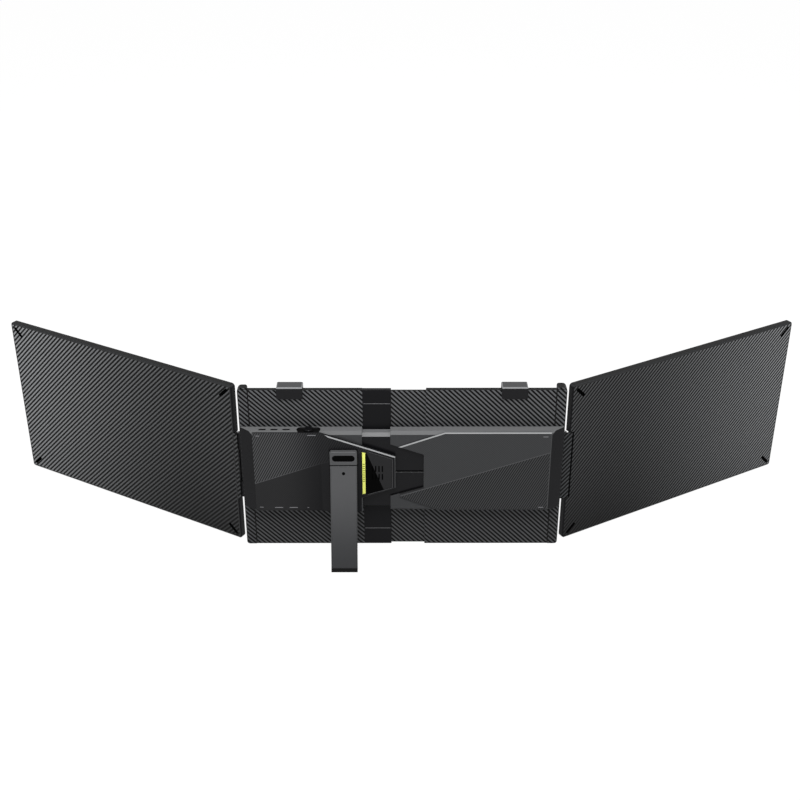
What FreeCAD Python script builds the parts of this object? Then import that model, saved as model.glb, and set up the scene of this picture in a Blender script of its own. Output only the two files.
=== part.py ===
import FreeCAD, Part
import math
import os

# Laptop screen extender: a telescoping back plate that grips a laptop lid, with a
# screen wing on each side.
# Millimetres, +Z up. The screens face +Y and the back of the plate faces -Y.
# The pieces are drawn with z = 0 on the desk, y = 0 in the middle of the plate's
# thickness and x = 0 in the middle of its width at rest. At the end they all move
# along Y together, so that the origin is the centre of the footprint on the desk.

# Back plate
PLATE_HEIGHT = 220.0
PLATE_THICKNESS = 5.0
PLATE_HALF_WIDTH = 195.3
SKIN = 1.2
EDGE_WALL = 1.5
SLIDE_GAP = 0.2
SLEEVE_LEFT_X = -47.2
SLEEVE_RIGHT_X = -13.3
RIGHT_PLATE_X = 28.2
INNER_PLATE_OVERLAP = 14.0

# Travel of the telescoping half, and what stays engaged when it is pulled right out
CLOSE_TRAVEL = 33.0
OPEN_TRAVEL = 16.0
PLATE_ENGAGEMENT = 2.8
BRIDGE_ENGAGEMENT = 8.0

# Side rails that grip the edges of the lid
RAIL_WIDTH = 12.0
RAIL_RISE = 2.0
RAIL_TOP_CORNER = 5.0
RAIL_LOW_CORNER = 4.0
RAIL_BACK_ROUND = 1.2
LEFT_RAIL_FRONT = 7.5
RIGHT_RAIL_FRONT = 11.2
RAIL_ROUND = 3.2
RAIL_PAD_THICKNESS = 1.0
RAIL_PAD_MARGIN = 22.0

# Electronics housing on the back
HOUSING_BOTTOM = 58.0
HOUSING_TOP = 170.0
HOUSING_DEPTH = 13.5
HOUSING_CHAMFER = 3.8
HOUSING_WALL = 1.6
HOUSING_END_SLOPE = 15.5
HOUSING_SIDE_INSET = 1.1
LEFT_HOUSING_END_X = -48.0
RIGHT_HOUSING_START_X = -14.2
RIDE_GAP = 0.4

# Cover plates on the housing
COVER_PROUD = 2.0
NOSE_RISE = 2.6
RAMP_START_X = -97.5
RAMP_END_X = -88.0
NOSE_TIP_X = -8.0
NOSE_TIP_TOP = 138.0
NOSE_TIP_BOTTOM = 93.6
NOSE_LOW_X = -53.0
NOSE_LOW_Z = 79.5
NOTCH_GAP = 1.0
COVER_EDGE = 1.2
RIGHT_COVER_TOP_X = 51.0
RIGHT_COVER_LOW_X = 44.0
RIGHT_COVER_HEAD_X = -5.0
RIGHT_COVER_HEAD_DROP = 20.4
RIGHT_COVER_FOOT_X = -3.0
RIGHT_COVER_FOOT_RISE = 20.5
COVER_LOW_STEP = 2.0
BRIDGE_INSET = 1.85
BRIDGE_HEIGHT_INSET = 3.5
BRIDGE_WALL = 1.5
BRIDGE_RIGHT_X = 48.0
BRIDGE_GROOVE = 1.2

# Window, accent strip and badge on the back
STRIP_LEFT_X = -48.3
STRIP_WIDTH = 4.8
STRIP_TOP = 145.0
STRIP_BOTTOM = 85.5
STRIP_SLANT = 1.4
WINDOW_MARGIN = 4.6
INLAY_DEPTH = 0.8
INLAY_GAP = 0.1

# Ports and menu button on the top of the housing
PORT_X = (-167.2, -153.0, -138.6)
PORT_WIDTH = 9.0
PORT_HEIGHT = 3.2
PORT_DEPTH = 6.5
PORT_WALL = 0.35
TOP_FEATURE_Y = -9.3
BUTTON_X = -111.8
BUTTON_RADIUS = 5.6
BUTTON_HEIGHT = 1.8
BUTTON_TRAVEL = 1.0
BUTTON_RECESS_LENGTH = 28.6
BUTTON_RECESS_DEPTH = 1.4
BUTTON_STEM_RADIUS = 1.5
BUTTON_STEM_LENGTH = 3.2
BUTTON_SEAT_THICKNESS = 1.2
BUTTON_SEAT_GAP = 0.2
BUTTON_RIM = 0.5
RUN_FIT = 0.05

# Screen wings
WING_LENGTH = 357.3
WING_HEIGHT = 219.4
WING_THICKNESS = 8.0
WING_CORNER = 4.0
WING_EDGE_BEVEL = 1.3
WING_WALL = 1.8
WING_SKIN = 1.6
BEZEL_THICKNESS = 1.2
SCREEN_SIDE_BORDER = 13.9
SCREEN_END_BORDER = 6.75
SCREEN_THICKNESS = 2.8
SCREEN_LAP = 2.0
REST_ANGLE = 30.0
SLOT_LENGTH = 13.0
SLOT_WIDTH = 3.6
SLOT_CORNER = 1.1
SLOT_INSET = 12.0
SLOT_DEPTH = 0.7

# Wing hinges
HINGE_BOTTOM = 60.0
HINGE_TOP = 155.0
HINGE_GAP = 0.5
KNUCKLE_RADIUS = 3.2
PIN_RADIUS = 1.5
LEFT_AXIS_OVERHANG = 4.7
LEFT_AXIS_Y = 13.5
LEFT_AXIS_DEPTH = 6.46
LEFT_EDGE_OFFSET = 0.2
LEFT_NOTCH = 5.0
TONGUE_REACH = 3.5
LEFT_END_KNUCKLE = 22.0
LINK_LENGTH = 8.8
RIGHT_AXIS_OVERHANG = 10.3
RIGHT_WING_AXIS_Y = 16.2
RIGHT_AXIS_DEPTH = 6.0
RIGHT_EDGE_OFFSET = -6.0
RIGHT_NOTCH = 3.9
RIGHT_END_KNUCKLE = 14.0
LINK_SKIN = 1.5
LINK_INNER_REACH = 2.5
LEFT_HINGE_RAIL_FRONT = 4.0
RIGHT_HINGE_RAIL_FRONT = 6.0
LEAF = 1.3
LEAF_REACH = 22.0

# Lid clips
CLIP_SIDE_INSET = 62.1
CLIP_WIDTH = 31.0
CLIP_RISE = 4.0
CLIP_ROOF_GAP = 0.3
CLIP_BACK_DROP = 11.5
CLIP_CORNER = 2.0
CLIP_BEVEL = 1.4
CLIP_BACK_THICKNESS = 2.2
CLIP_LIP_BACK = 9.8
CLIP_LIP_THICKNESS = 1.6
CLIP_LIP_DROP = 5.0
CLIP_TRAVEL = 20.0
CLIP_TAIL_WIDTH = 24.0
CLIP_TAIL_GRIP = 50.0
CLIP_TAIL_THICKNESS = 2.0
CLIP_SEAT_GAP = 0.2
CLIP_PAD_THICKNESS = 0.8
SPRING_LENGTH = 38.0
SPRING_RADIUS = 1.1
ANCHOR_WIDTH = 6.0
ANCHOR_HEIGHT = 4.0

# Stand
STAND_X = -70.3
STAND_WIDTH = 32.0
STAND_LEG_THICKNESS = 5.1
STAND_AXIS_Z = 127.0
STAND_COVER_GAP = 0.35
STAND_ANGLE = 16.4
STAND_HEAD_TOP = 148.4
STAND_HEAD_GAP = 0.8
STAND_HEAD_MARGIN = 0.4
STAND_HEAD_CORNER = 1.6
STAND_HEAD_BEVEL = 0.8
STAND_LUG_WIDTH = 11.0
STAND_PIN_RADIUS = 1.2
STAND_SIDE_BEVEL = 1.0
STAND_HOLE_RADIUS = 1.9
STAND_HOLE_DROP = 8.4
FOOT_HEIGHT = 4.4
BADGE_WIDTH = 27.0
BADGE_HEIGHT = 8.2
BADGE_TOP = 143.4

# Pads, boards and screws
LID_PAD_THICKNESS = 1.0
LID_PAD_HEIGHT = 26.0
LID_PAD_CORNER = 4.0
LID_PAD_END_MARGIN = 14.0
LID_PAD_SHARE = 0.16
BOARD_THICKNESS = 1.6
BOARD_STANDOFF = 3.6
BOARD_END_MARGIN = 8.0
BOARD_BUTTON_MARGIN = 16.0
BOARD_HEIGHT_MARGIN = 22.0
POST_SIZE = 3.2
POST_INSET = 4.0
CHIP_SIZE = 14.0
CHIP_THICKNESS = 1.2
WING_BOARD_LENGTH = 120.0
WING_BOARD_HEIGHT = 24.0
WING_BOARD_BOTTOM = 20.0
WING_BOARD_THICKNESS = 1.0
WING_BOARD_SHARE = 0.36
WING_CHIP_SIZE = 9.0
WING_CHIP_THICKNESS = 0.9
SCREW_RADIUS = 1.0
SCREW_HEAD_RADIUS = 2.0
SCREW_HEAD_HEIGHT = 0.8
SCREW_LENGTH = 9.0
BOSS_WIDTH = 5.6
BOSS_RIB = 1.6
BOSS_OVERRUN = 2.0
SCREW_EDGE = 11.0
SCREW_CLIP_GAP = 1.5

# Derived planes
PLATE_BACK = -PLATE_THICKNESS / 2
PLATE_FRONT = PLATE_THICKNESS / 2
CAVITY_BACK = PLATE_BACK + SKIN
CAVITY_FRONT = PLATE_FRONT - SKIN
HOUSING_BACK = PLATE_BACK - HOUSING_DEPTH
COVER_BACK = HOUSING_BACK - COVER_PROUD
NOSE_BACK = COVER_BACK - NOSE_RISE
BRIDGE_BACK = HOUSING_BACK + BRIDGE_INSET
HOUSING_OUTER_X = PLATE_HALF_WIDTH - HOUSING_SIDE_INSET
LEFT_AXIS_X = -PLATE_HALF_WIDTH - LEFT_AXIS_OVERHANG
RIGHT_WING_AXIS_X = PLATE_HALF_WIDTH + RIGHT_AXIS_OVERHANG
CLIP_X = PLATE_HALF_WIDTH - CLIP_SIDE_INSET
BRIDGE_LEFT_X = LEFT_HOUSING_END_X - OPEN_TRAVEL - BRIDGE_ENGAGEMENT
INNER_PLATE_LEFT_X = SLEEVE_LEFT_X - OPEN_TRAVEL - PLATE_ENGAGEMENT
RAIL_TOP = PLATE_HEIGHT + RAIL_RISE
CLIP_TOP = PLATE_HEIGHT + CLIP_RISE
CLIP_BACK_BOTTOM = PLATE_HEIGHT - CLIP_BACK_DROP
CLIP_TAIL_BOTTOM = PLATE_HEIGHT - CLIP_TRAVEL - CLIP_TAIL_GRIP
SPRING_BOTTOM = CLIP_TAIL_BOTTOM - SPRING_LENGTH
SCREEN_LENGTH = WING_LENGTH - 2 * SCREEN_SIDE_BORDER
SCREEN_HEIGHT = WING_HEIGHT - 2 * SCREEN_END_BORDER
RAIL_INNER_X = PLATE_HALF_WIDTH - RAIL_WIDTH
STAND_AXIS_Y = NOSE_BACK - STAND_COVER_GAP - STAND_LEG_THICKNESS / 2
STAND_LEG_LENGTH = STAND_AXIS_Z / math.cos(math.radians(STAND_ANGLE)) - FOOT_HEIGHT
LINK_ANGLE = REST_ANGLE / 2
PLATE_AXIS_X = RIGHT_WING_AXIS_X - LINK_LENGTH * math.cos(math.radians(LINK_ANGLE))
PLATE_AXIS_Y = RIGHT_WING_AXIS_Y - LINK_LENGTH * math.sin(math.radians(LINK_ANGLE))
CLIP_LIP_FRONT = CLIP_LIP_BACK + CLIP_LIP_THICKNESS
WING_TIP_Y = (LEFT_AXIS_Y + (LEFT_EDGE_OFFSET + WING_LENGTH) * math.sin(math.radians(REST_ANGLE))
              + (WING_THICKNESS - LEFT_AXIS_DEPTH) * math.cos(math.radians(REST_ANGLE)))
FOOT_BACK_Y = (STAND_AXIS_Y - STAND_LEG_THICKNESS / 2 / math.cos(math.radians(STAND_ANGLE))
               - STAND_AXIS_Z * math.tan(math.radians(STAND_ANGLE)))
FOOTPRINT_MIDDLE_Y = (WING_TIP_Y + FOOT_BACK_Y) / 2


def vec(x, y, z):
    return FreeCAD.Vector(x, y, z)


def box(x0, x1, y0, y1, z0, z1):
    """A block between two opposite corners."""
    return Part.makeBox(x1 - x0, y1 - y0, z1 - z0, vec(x0, y0, z0))


def cylinder(radius, height, base, direction):
    return Part.makeCylinder(radius, height, base, direction)


def prism_y(outline, y0, y1):
    """A plate whose x, z outline runs from y0 to y1."""
    points = [vec(x, y0, z) for x, z in outline]
    face = Part.Face(Part.makePolygon(points + [points[0]]))
    return face.extrude(vec(0, y1 - y0, 0))


def prism_x(outline, x0, x1):
    """A bar whose y, z section runs from x0 to x1."""
    points = [vec(x0, y, z) for y, z in outline]
    face = Part.Face(Part.makePolygon(points + [points[0]]))
    return face.extrude(vec(x1 - x0, 0, 0))


def prism_z(outline, z0, z1):
    """A column whose x, y outline runs from z0 to z1."""
    points = [vec(x, y, z0) for x, y in outline]
    face = Part.Face(Part.makePolygon(points + [points[0]]))
    return face.extrude(vec(0, 0, z1 - z0))


def edges_where(shape, test):
    """The straight edges whose two ends both pass the test."""
    chosen = []
    for edge in shape.Edges:
        ends = [vertex.Point for vertex in edge.Vertexes]
        if len(ends) == 2 and test(ends[0], ends[1]):
            chosen.append(edge)
    return chosen


def near(a, b):
    return abs(a - b) < 1e-4


def parallel(a, b, axis):
    """Whether the line from a to b runs along one axis: 0, 1 or 2."""
    others = [i for i in range(3) if i != axis]
    return all(near(a[i], b[i]) for i in others)


def rounded_plate(x0, x1, y0, y1, z0, z1, corner):
    """A plate facing Y with its four corners rounded."""
    plate = box(x0, x1, y0, y1, z0, z1)
    return plate.makeFillet(corner, edges_where(plate, lambda a, b: parallel(a, b, 1)))


def save(name, shape):
    """Write one sub-part as a STEP file."""
    shape.exportStep(os.path.join("parts", name + ".step"))


def group(shapes):
    return Part.makeCompound(shapes)


# Back plates


def tray(x0, x1):
    """The back skin of a plate half with its turned top and bottom edges."""
    plate = box(x0, x1, PLATE_BACK, CAVITY_FRONT, 0, PLATE_HEIGHT)
    long_edges = edges_where(
        plate, lambda a, b: parallel(a, b, 0) and near(a.y, PLATE_BACK))
    plate = plate.makeFillet(0.8, long_edges)
    hollow = box(x0 - 1, x1 + 1, CAVITY_BACK, PLATE_FRONT, EDGE_WALL, PLATE_HEIGHT - EDGE_WALL)
    return plate.cut(hollow)


def front_skin(x0, x1):
    """The flat front of a plate half, seated on the turned edges of the tray."""
    return box(x0, x1, CAVITY_FRONT, PLATE_FRONT, 0, PLATE_HEIGHT)


def screw_places(side):
    """Where the screws hold a housing half to its plate: low outside, high inside."""
    outer = side * (HOUSING_OUTER_X - HOUSING_END_SLOPE - SCREW_EDGE)
    beside_tail = CLIP_TAIL_WIDTH / 2 + SCREW_HEAD_RADIUS + SCREW_CLIP_GAP - CLIP_X
    inner = beside_tail if side < 0 else BRIDGE_RIGHT_X + SCREW_EDGE
    return [(outer, HOUSING_BOTTOM + SCREW_EDGE), (inner, HOUSING_TOP - SCREW_EDGE)]


def screw_holes(side, y0, y1):
    """Clearance holes for the housing screws, with flat seats for their heads."""
    holes = []
    for x, z in screw_places(side):
        holes.append(cylinder(SCREW_RADIUS + RUN_FIT, y1 - y0, vec(x, y0, z), vec(0, 1, 0)))
    return group(holes)


def head_seats(side):
    seats = []
    for x, z in screw_places(side):
        start = vec(x, PLATE_FRONT - SCREW_HEAD_HEIGHT, z)
        seats.append(cylinder(SCREW_HEAD_RADIUS + RUN_FIT, SCREW_HEAD_HEIGHT, start, vec(0, 1, 0)))
    return group(seats)


def housing_screws(side):
    """Two flat-headed screws, driven from the front of the plate."""
    screws = []
    for x, z in screw_places(side):
        head = cylinder(SCREW_HEAD_RADIUS, SCREW_HEAD_HEIGHT,
                        vec(x, PLATE_FRONT - SCREW_HEAD_HEIGHT, z), vec(0, 1, 0))
        shank = cylinder(SCREW_RADIUS, SCREW_LENGTH,
                         vec(x, PLATE_FRONT - SCREW_LENGTH, z), vec(0, 1, 0))
        socket = box(x - 0.3, x + 0.3, PLATE_FRONT - 0.4, PLATE_FRONT, z - 1.2, z + 1.2)
        screws.append(head.fuse(shank).cut(socket).removeSplitter())
    return group(screws)


def clip_mouth(x):
    """The gap in the plate's top edge that the tail of a clip slides through."""
    half = CLIP_TAIL_WIDTH / 2 + SLIDE_GAP
    return box(x - half, x + half, CAVITY_BACK, CAVITY_FRONT, PLATE_HEIGHT - 5, PLATE_HEIGHT + 1)


def left_back_plate():
    plate = tray(-RAIL_INNER_X, SLEEVE_LEFT_X)
    return plate.cut(clip_mouth(-CLIP_X)).cut(screw_holes(-1, PLATE_BACK - 1, PLATE_FRONT))


def left_front_plate():
    plate = front_skin(-RAIL_INNER_X, SLEEVE_LEFT_X)
    anchor = spring_anchor(-CLIP_X)
    holes = screw_holes(-1, 0, PLATE_FRONT + 1)
    return plate.fuse(anchor).cut(holes).cut(head_seats(-1)).removeSplitter()


def right_back_plate():
    plate = tray(RIGHT_PLATE_X, RAIL_INNER_X)
    return plate.cut(clip_mouth(CLIP_X)).cut(screw_holes(1, PLATE_BACK - 1, PLATE_FRONT))


def right_front_plate():
    plate = front_skin(RIGHT_PLATE_X, RAIL_INNER_X)
    anchor = spring_anchor(CLIP_X)
    holes = screw_holes(1, 0, PLATE_FRONT + 1)
    return plate.fuse(anchor).cut(holes).cut(head_seats(1)).removeSplitter()


def end_sleeve():
    """The smooth black collar that the inner plate slides in."""
    collar = box(SLEEVE_LEFT_X, SLEEVE_RIGHT_X, PLATE_BACK, PLATE_FRONT, 0, PLATE_HEIGHT)
    long_edges = edges_where(collar, lambda a, b: parallel(a, b, 0))
    collar = collar.makeFillet(0.8, long_edges)
    hollow = box(SLEEVE_LEFT_X - 1, SLEEVE_RIGHT_X + 1, CAVITY_BACK, CAVITY_FRONT,
                 EDGE_WALL, PLATE_HEIGHT - EDGE_WALL)
    return collar.cut(hollow)


def inner_slide_plate():
    """The plate that telescopes into the left half, held in the right half."""
    half = CAVITY_FRONT - SLIDE_GAP
    low = EDGE_WALL + SLIDE_GAP
    sliding = box(INNER_PLATE_LEFT_X, RIGHT_PLATE_X, -half, half, low, PLATE_HEIGHT - low)
    held = box(RIGHT_PLATE_X, RIGHT_PLATE_X + INNER_PLATE_OVERLAP, CAVITY_BACK, CAVITY_FRONT,
               EDGE_WALL, PLATE_HEIGHT - EDGE_WALL)
    return sliding.fuse(held).removeSplitter()


# Side rails


def side_rail(side, front, hinge_front):
    """A rounded bar that grips the edge of the lid, lowered where the hinge sits."""
    x0, x1 = sorted((side * RAIL_INNER_X, side * PLATE_HALF_WIDTH))
    rail = box(x0, x1, PLATE_BACK, front, 0, RAIL_TOP)
    rail = rail.makeFillet(RAIL_ROUND, edges_where(
        rail, lambda a, b: parallel(a, b, 2) and near(a.y, front)))
    rail = rail.makeFillet(RAIL_BACK_ROUND, edges_where(
        rail, lambda a, b: parallel(a, b, 2) and near(a.y, PLATE_BACK)
        and near(abs(a.x), PLATE_HALF_WIDTH)))
    step = box(x0 - 1, x1 + 1, hinge_front, front + 1,
               HINGE_BOTTOM - 2 * HINGE_GAP, HINGE_TOP + 2 * HINGE_GAP)
    back_step = box(x0 - 1, x1 + 1, PLATE_BACK - 1, PLATE_BACK + SKIN,
                    PLATE_HEIGHT + 0.01, RAIL_TOP + 1)
    outline = box(x0, x1, PLATE_BACK, front, 0, RAIL_TOP)
    outer = side * PLATE_HALF_WIDTH
    outline = outline.makeFillet(RAIL_LOW_CORNER, edges_where(
        outline, lambda a, b: parallel(a, b, 1) and near(a.x, outer) and near(a.z, 0)))
    outline = outline.makeFillet(RAIL_TOP_CORNER, edges_where(
        outline, lambda a, b: parallel(a, b, 1) and near(a.x, outer) and near(a.z, RAIL_TOP)))
    outline = outline.makeFillet(RAIL_RISE - 0.1, edges_where(
        outline, lambda a, b: parallel(a, b, 1) and near(a.x, side * RAIL_INNER_X)
        and near(a.z, RAIL_TOP)))
    return rail.common(outline).cut(step).cut(back_step)


def rail_pad(side, front):
    """The rubber lining that touches the edge of the lid."""
    x0 = side * RAIL_INNER_X
    x1 = side * (RAIL_INNER_X - RAIL_PAD_THICKNESS)
    low, high = sorted((x0, x1))
    return box(low, high, PLATE_FRONT, front - RAIL_ROUND, RAIL_PAD_MARGIN,
               PLATE_HEIGHT - RAIL_PAD_MARGIN)


def lid_pads(side):
    """Two soft strips on the front face that rest on the lid."""
    near_x = SLEEVE_LEFT_X if side < 0 else RIGHT_PLATE_X
    margin = LID_PAD_END_MARGIN
    x0, x1 = sorted((near_x + side * margin, side * (RAIL_INNER_X - margin)))
    pads = []
    for z in (PLATE_HEIGHT * LID_PAD_SHARE, PLATE_HEIGHT * (1 - LID_PAD_SHARE)):
        low = z - LID_PAD_HEIGHT / 2
        pad = box(x0, x1, PLATE_FRONT, PLATE_FRONT + LID_PAD_THICKNESS, low, low + LID_PAD_HEIGHT)
        corners = edges_where(pad, lambda a, b: parallel(a, b, 1))
        pads.append(pad.makeChamfer(LID_PAD_CORNER, corners))
    return group(pads)


# Electronics housing


def housing_section(inset, height_inset, base):
    """The y, z outline of the housing, drawn in from its outer faces."""
    back = HOUSING_BACK + inset
    low = HOUSING_BOTTOM + height_inset
    high = HOUSING_TOP - height_inset
    cut = HOUSING_CHAMFER
    return [(base, low), (back + cut, low), (back, low + cut),
            (back, high - cut), (back + cut, high), (base, high)]


def end_wedge(side):
    """What the sloped end face of the housing takes off."""
    outer = side * (HOUSING_OUTER_X + 2)
    base = side * HOUSING_OUTER_X
    slope_end = side * (HOUSING_OUTER_X - HOUSING_END_SLOPE)
    outline = [(base, PLATE_BACK + 1), (base, PLATE_BACK - 1.0), (slope_end, HOUSING_BACK - 0.01),
               (slope_end, NOSE_BACK - 5), (outer, NOSE_BACK - 5), (outer, PLATE_BACK + 1)]
    return prism_z(outline, HOUSING_BOTTOM - 5, HOUSING_TOP + 5)


def bosses(side):
    """Square posts for the screws, each tied to the nearest wall by a rib."""
    posts = []
    half = BOSS_WIDTH / 2
    bite = SCREW_LENGTH - PLATE_THICKNESS
    end = PLATE_BACK - bite - BOSS_OVERRUN
    for x, z in screw_places(side):
        post = box(x - half, x + half, end, PLATE_BACK, z - half, z + half)
        pilot = cylinder(SCREW_RADIUS, bite, vec(x, PLATE_BACK, z), vec(0, -1, 0))
        wall_z = HOUSING_BOTTOM if z < (HOUSING_BOTTOM + HOUSING_TOP) / 2 else HOUSING_TOP
        z0, z1 = sorted((z, wall_z))
        rib = box(x - BOSS_RIB / 2, x + BOSS_RIB / 2, end, PLATE_BACK, z0, z1)
        posts.append(post.fuse(rib).cut(pilot))
    return posts


def left_housing():
    """The left casing shell, open towards the plate and at its inner end."""
    outer = prism_x(housing_section(0, 0, PLATE_BACK), -HOUSING_OUTER_X, LEFT_HOUSING_END_X)
    shell_x = -(HOUSING_OUTER_X - HOUSING_END_SLOPE - HOUSING_WALL)
    inner = prism_x(housing_section(HOUSING_WALL, HOUSING_WALL, PLATE_BACK + 1),
                    shell_x, LEFT_HOUSING_END_X + 1)
    shell = outer.cut(inner)
    for post in bosses(-1):
        shell = shell.fuse(post)
    shell = shell.cut(end_wedge(-1)).cut(port_openings()).cut(button_recess())
    seat = box(BUTTON_X - BUTTON_RECESS_LENGTH / 2, BUTTON_X + BUTTON_RECESS_LENGTH / 2,
               TOP_FEATURE_Y - BUTTON_RADIUS, TOP_FEATURE_Y + BUTTON_RADIUS,
               HOUSING_TOP - BUTTON_RECESS_DEPTH - BUTTON_SEAT_THICKNESS,
               HOUSING_TOP - BUTTON_RECESS_DEPTH)
    return shell.fuse(seat).cut(button_stem_hole()).removeSplitter()


def port_openings():
    slots = []
    for x in PORT_X:
        slots.append(port_block(x, 0.0, HOUSING_TOP - PORT_DEPTH - 1, HOUSING_TOP + 1))
    return group(slots)


def port_block(x, inset, z0, z1):
    """A stadium column the size of a socket's shell."""
    half = PORT_WIDTH / 2 - inset
    radius = PORT_HEIGHT / 2 - inset
    flat = half - radius
    middle = box(x - flat, x + flat, TOP_FEATURE_Y - radius, TOP_FEATURE_Y + radius, z0, z1)
    ends = [cylinder(radius, z1 - z0, vec(x + s * flat, TOP_FEATURE_Y, z0), vec(0, 0, 1))
            for s in (-1, 1)]
    return middle.fuse(ends).removeSplitter()


def usb_c_port(x):
    """A socket shell with its closed back and the contact tongue inside."""
    low = HOUSING_TOP - PORT_DEPTH
    shell = port_block(x, 0.0, low, HOUSING_TOP - 0.3)
    hollow = port_block(x, PORT_WALL, low + 0.8, HOUSING_TOP)
    tongue = box(x - 3.3, x + 3.3, TOP_FEATURE_Y - 0.35, TOP_FEATURE_Y + 0.35,
                 low + 0.5, HOUSING_TOP - 1.2)
    return shell.cut(hollow).fuse(tongue).removeSplitter()


def button_recess():
    """The shallow stadium tray that the menu button stands in."""
    half = BUTTON_RECESS_LENGTH / 2
    radius = BUTTON_RADIUS + 0.4
    low = HOUSING_TOP - BUTTON_RECESS_DEPTH
    middle = box(BUTTON_X - half + radius, BUTTON_X + half - radius,
                 TOP_FEATURE_Y - radius, TOP_FEATURE_Y + radius, low, HOUSING_TOP + 1)
    ends = [cylinder(radius, BUTTON_RECESS_DEPTH + 1,
                     vec(BUTTON_X + s * (half - radius), TOP_FEATURE_Y, low), vec(0, 0, 1))
            for s in (-1, 1)]
    return middle.fuse(ends)


def button_stem_hole():
    depth = BUTTON_RECESS_DEPTH + 2 * BUTTON_STEM_LENGTH
    return cylinder(BUTTON_STEM_RADIUS + RUN_FIT, depth,
                    vec(BUTTON_X, TOP_FEATURE_Y, HOUSING_TOP - depth), vec(0, 0, 1))


def menu_button():
    """A round push button with a stem through the floor of its tray."""
    low = HOUSING_TOP - BUTTON_RECESS_DEPTH + BUTTON_TRAVEL + BUTTON_SEAT_GAP
    cap = cylinder(BUTTON_RADIUS, BUTTON_HEIGHT, vec(BUTTON_X, TOP_FEATURE_Y, low), vec(0, 0, 1))
    rim = [edge for edge in cap.Edges if near(edge.BoundBox.ZMin, low + BUTTON_HEIGHT)]
    cap = cap.makeChamfer(BUTTON_RIM, rim)
    stem = cylinder(BUTTON_STEM_RADIUS, BUTTON_STEM_LENGTH,
                    vec(BUTTON_X, TOP_FEATURE_Y, low - BUTTON_STEM_LENGTH), vec(0, 0, 1))
    return cap.fuse(stem).removeSplitter()


def nose_outline(grow, shift):
    """The pointed end of the left cover, grown by a gap and moved along X."""
    slope = math.hypot(NOSE_TIP_X - RAMP_START_X, HOUSING_TOP - NOSE_TIP_TOP)
    rise = grow * slope / (NOSE_TIP_X - RAMP_START_X)
    top_slope = (HOUSING_TOP - NOSE_TIP_TOP) / (NOSE_TIP_X - RAMP_START_X)
    low_slope = (NOSE_TIP_BOTTOM - NOSE_LOW_Z) / (NOSE_TIP_X - NOSE_LOW_X)
    tip_x = NOSE_TIP_X + grow
    return [(RAMP_START_X + shift, HOUSING_TOP + rise),
            (tip_x + shift, NOSE_TIP_TOP + rise - grow * top_slope),
            (tip_x + shift, NOSE_TIP_BOTTOM - rise + grow * low_slope),
            (NOSE_LOW_X + shift, NOSE_LOW_Z - rise),
            (RAMP_START_X + shift, NOSE_LOW_Z - rise)]


def left_cover():
    """The proud cover with its ramp and the pointed nose over the bridge."""
    end_x = -(HOUSING_OUTER_X - HOUSING_END_SLOPE)
    right_x = LEFT_HOUSING_END_X
    outline = [(end_x, HOUSING_TOP), (RAMP_START_X, HOUSING_TOP), (NOSE_TIP_X, NOSE_TIP_TOP),
               (NOSE_TIP_X, NOSE_TIP_BOTTOM), (right_x, NOSE_LOW_Z),
               (right_x, HOUSING_BOTTOM + COVER_LOW_STEP), (end_x, HOUSING_BOTTOM + COVER_LOW_STEP)]
    slab = prism_y(outline, NOSE_BACK - 1, HOUSING_BACK)
    profile = [(end_x - 1, HOUSING_BACK), (end_x - 1, COVER_BACK), (RAMP_START_X, COVER_BACK),
               (RAMP_END_X, NOSE_BACK), (NOSE_TIP_X + 1, NOSE_BACK),
               (NOSE_TIP_X + 1, HOUSING_BACK - RIDE_GAP),
               (right_x + 0.5, HOUSING_BACK - RIDE_GAP), (right_x, HOUSING_BACK)]
    cover = slab.common(prism_z(profile, 0, PLATE_HEIGHT))
    back_edges = edges_where(cover, lambda a, b: a.y < COVER_BACK + 0.01 and b.y < COVER_BACK + 0.01
                             and not near(a.x, RAMP_START_X) and not near(b.x, RAMP_END_X)
                             and not near(a.y, COVER_BACK) and not near(b.y, COVER_BACK)
                             and not (near(a.x, RAMP_END_X) and near(b.x, RAMP_END_X)))
    cover = cover.makeChamfer(COVER_EDGE, back_edges)
    for cutter in (strip_pocket(), window_pocket()):
        cover = cover.cut(cutter)
    return cover


def strip_outline(grow):
    """The slanted accent strip beside the window."""
    left = STRIP_LEFT_X - grow
    right = STRIP_LEFT_X + STRIP_WIDTH + grow
    return [(left, STRIP_TOP + grow), (right, STRIP_TOP - STRIP_SLANT + grow),
            (right, STRIP_BOTTOM + STRIP_SLANT - grow), (left, STRIP_BOTTOM - grow)]


def window_outline(grow):
    """The window: the nose's outline drawn in to an even margin."""
    left = STRIP_LEFT_X + STRIP_WIDTH + 2 * INLAY_GAP + 0.2 - grow
    right = NOSE_TIP_X - WINDOW_MARGIN + grow
    top_slope = (HOUSING_TOP - NOSE_TIP_TOP) / (NOSE_TIP_X - RAMP_START_X)
    low_slope = (NOSE_TIP_BOTTOM - NOSE_LOW_Z) / (NOSE_TIP_X - NOSE_LOW_X)
    top = NOSE_TIP_TOP - WINDOW_MARGIN * 0.75 + grow
    low = NOSE_TIP_BOTTOM + WINDOW_MARGIN * 0.25 - grow
    span = right - left
    return [(left, top + span * top_slope), (right, top),
            (right, low), (left, low - span * low_slope)]


def strip_pocket():
    return prism_y(strip_outline(INLAY_GAP), NOSE_BACK - 1, NOSE_BACK + INLAY_DEPTH)


def window_pocket():
    return prism_y(window_outline(INLAY_GAP), NOSE_BACK - 1, NOSE_BACK + INLAY_DEPTH)


def accent_strip():
    return prism_y(strip_outline(0), NOSE_BACK, NOSE_BACK + INLAY_DEPTH)


def nose_window():
    return prism_y(window_outline(0), NOSE_BACK + 0.1, NOSE_BACK + INLAY_DEPTH)


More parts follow.
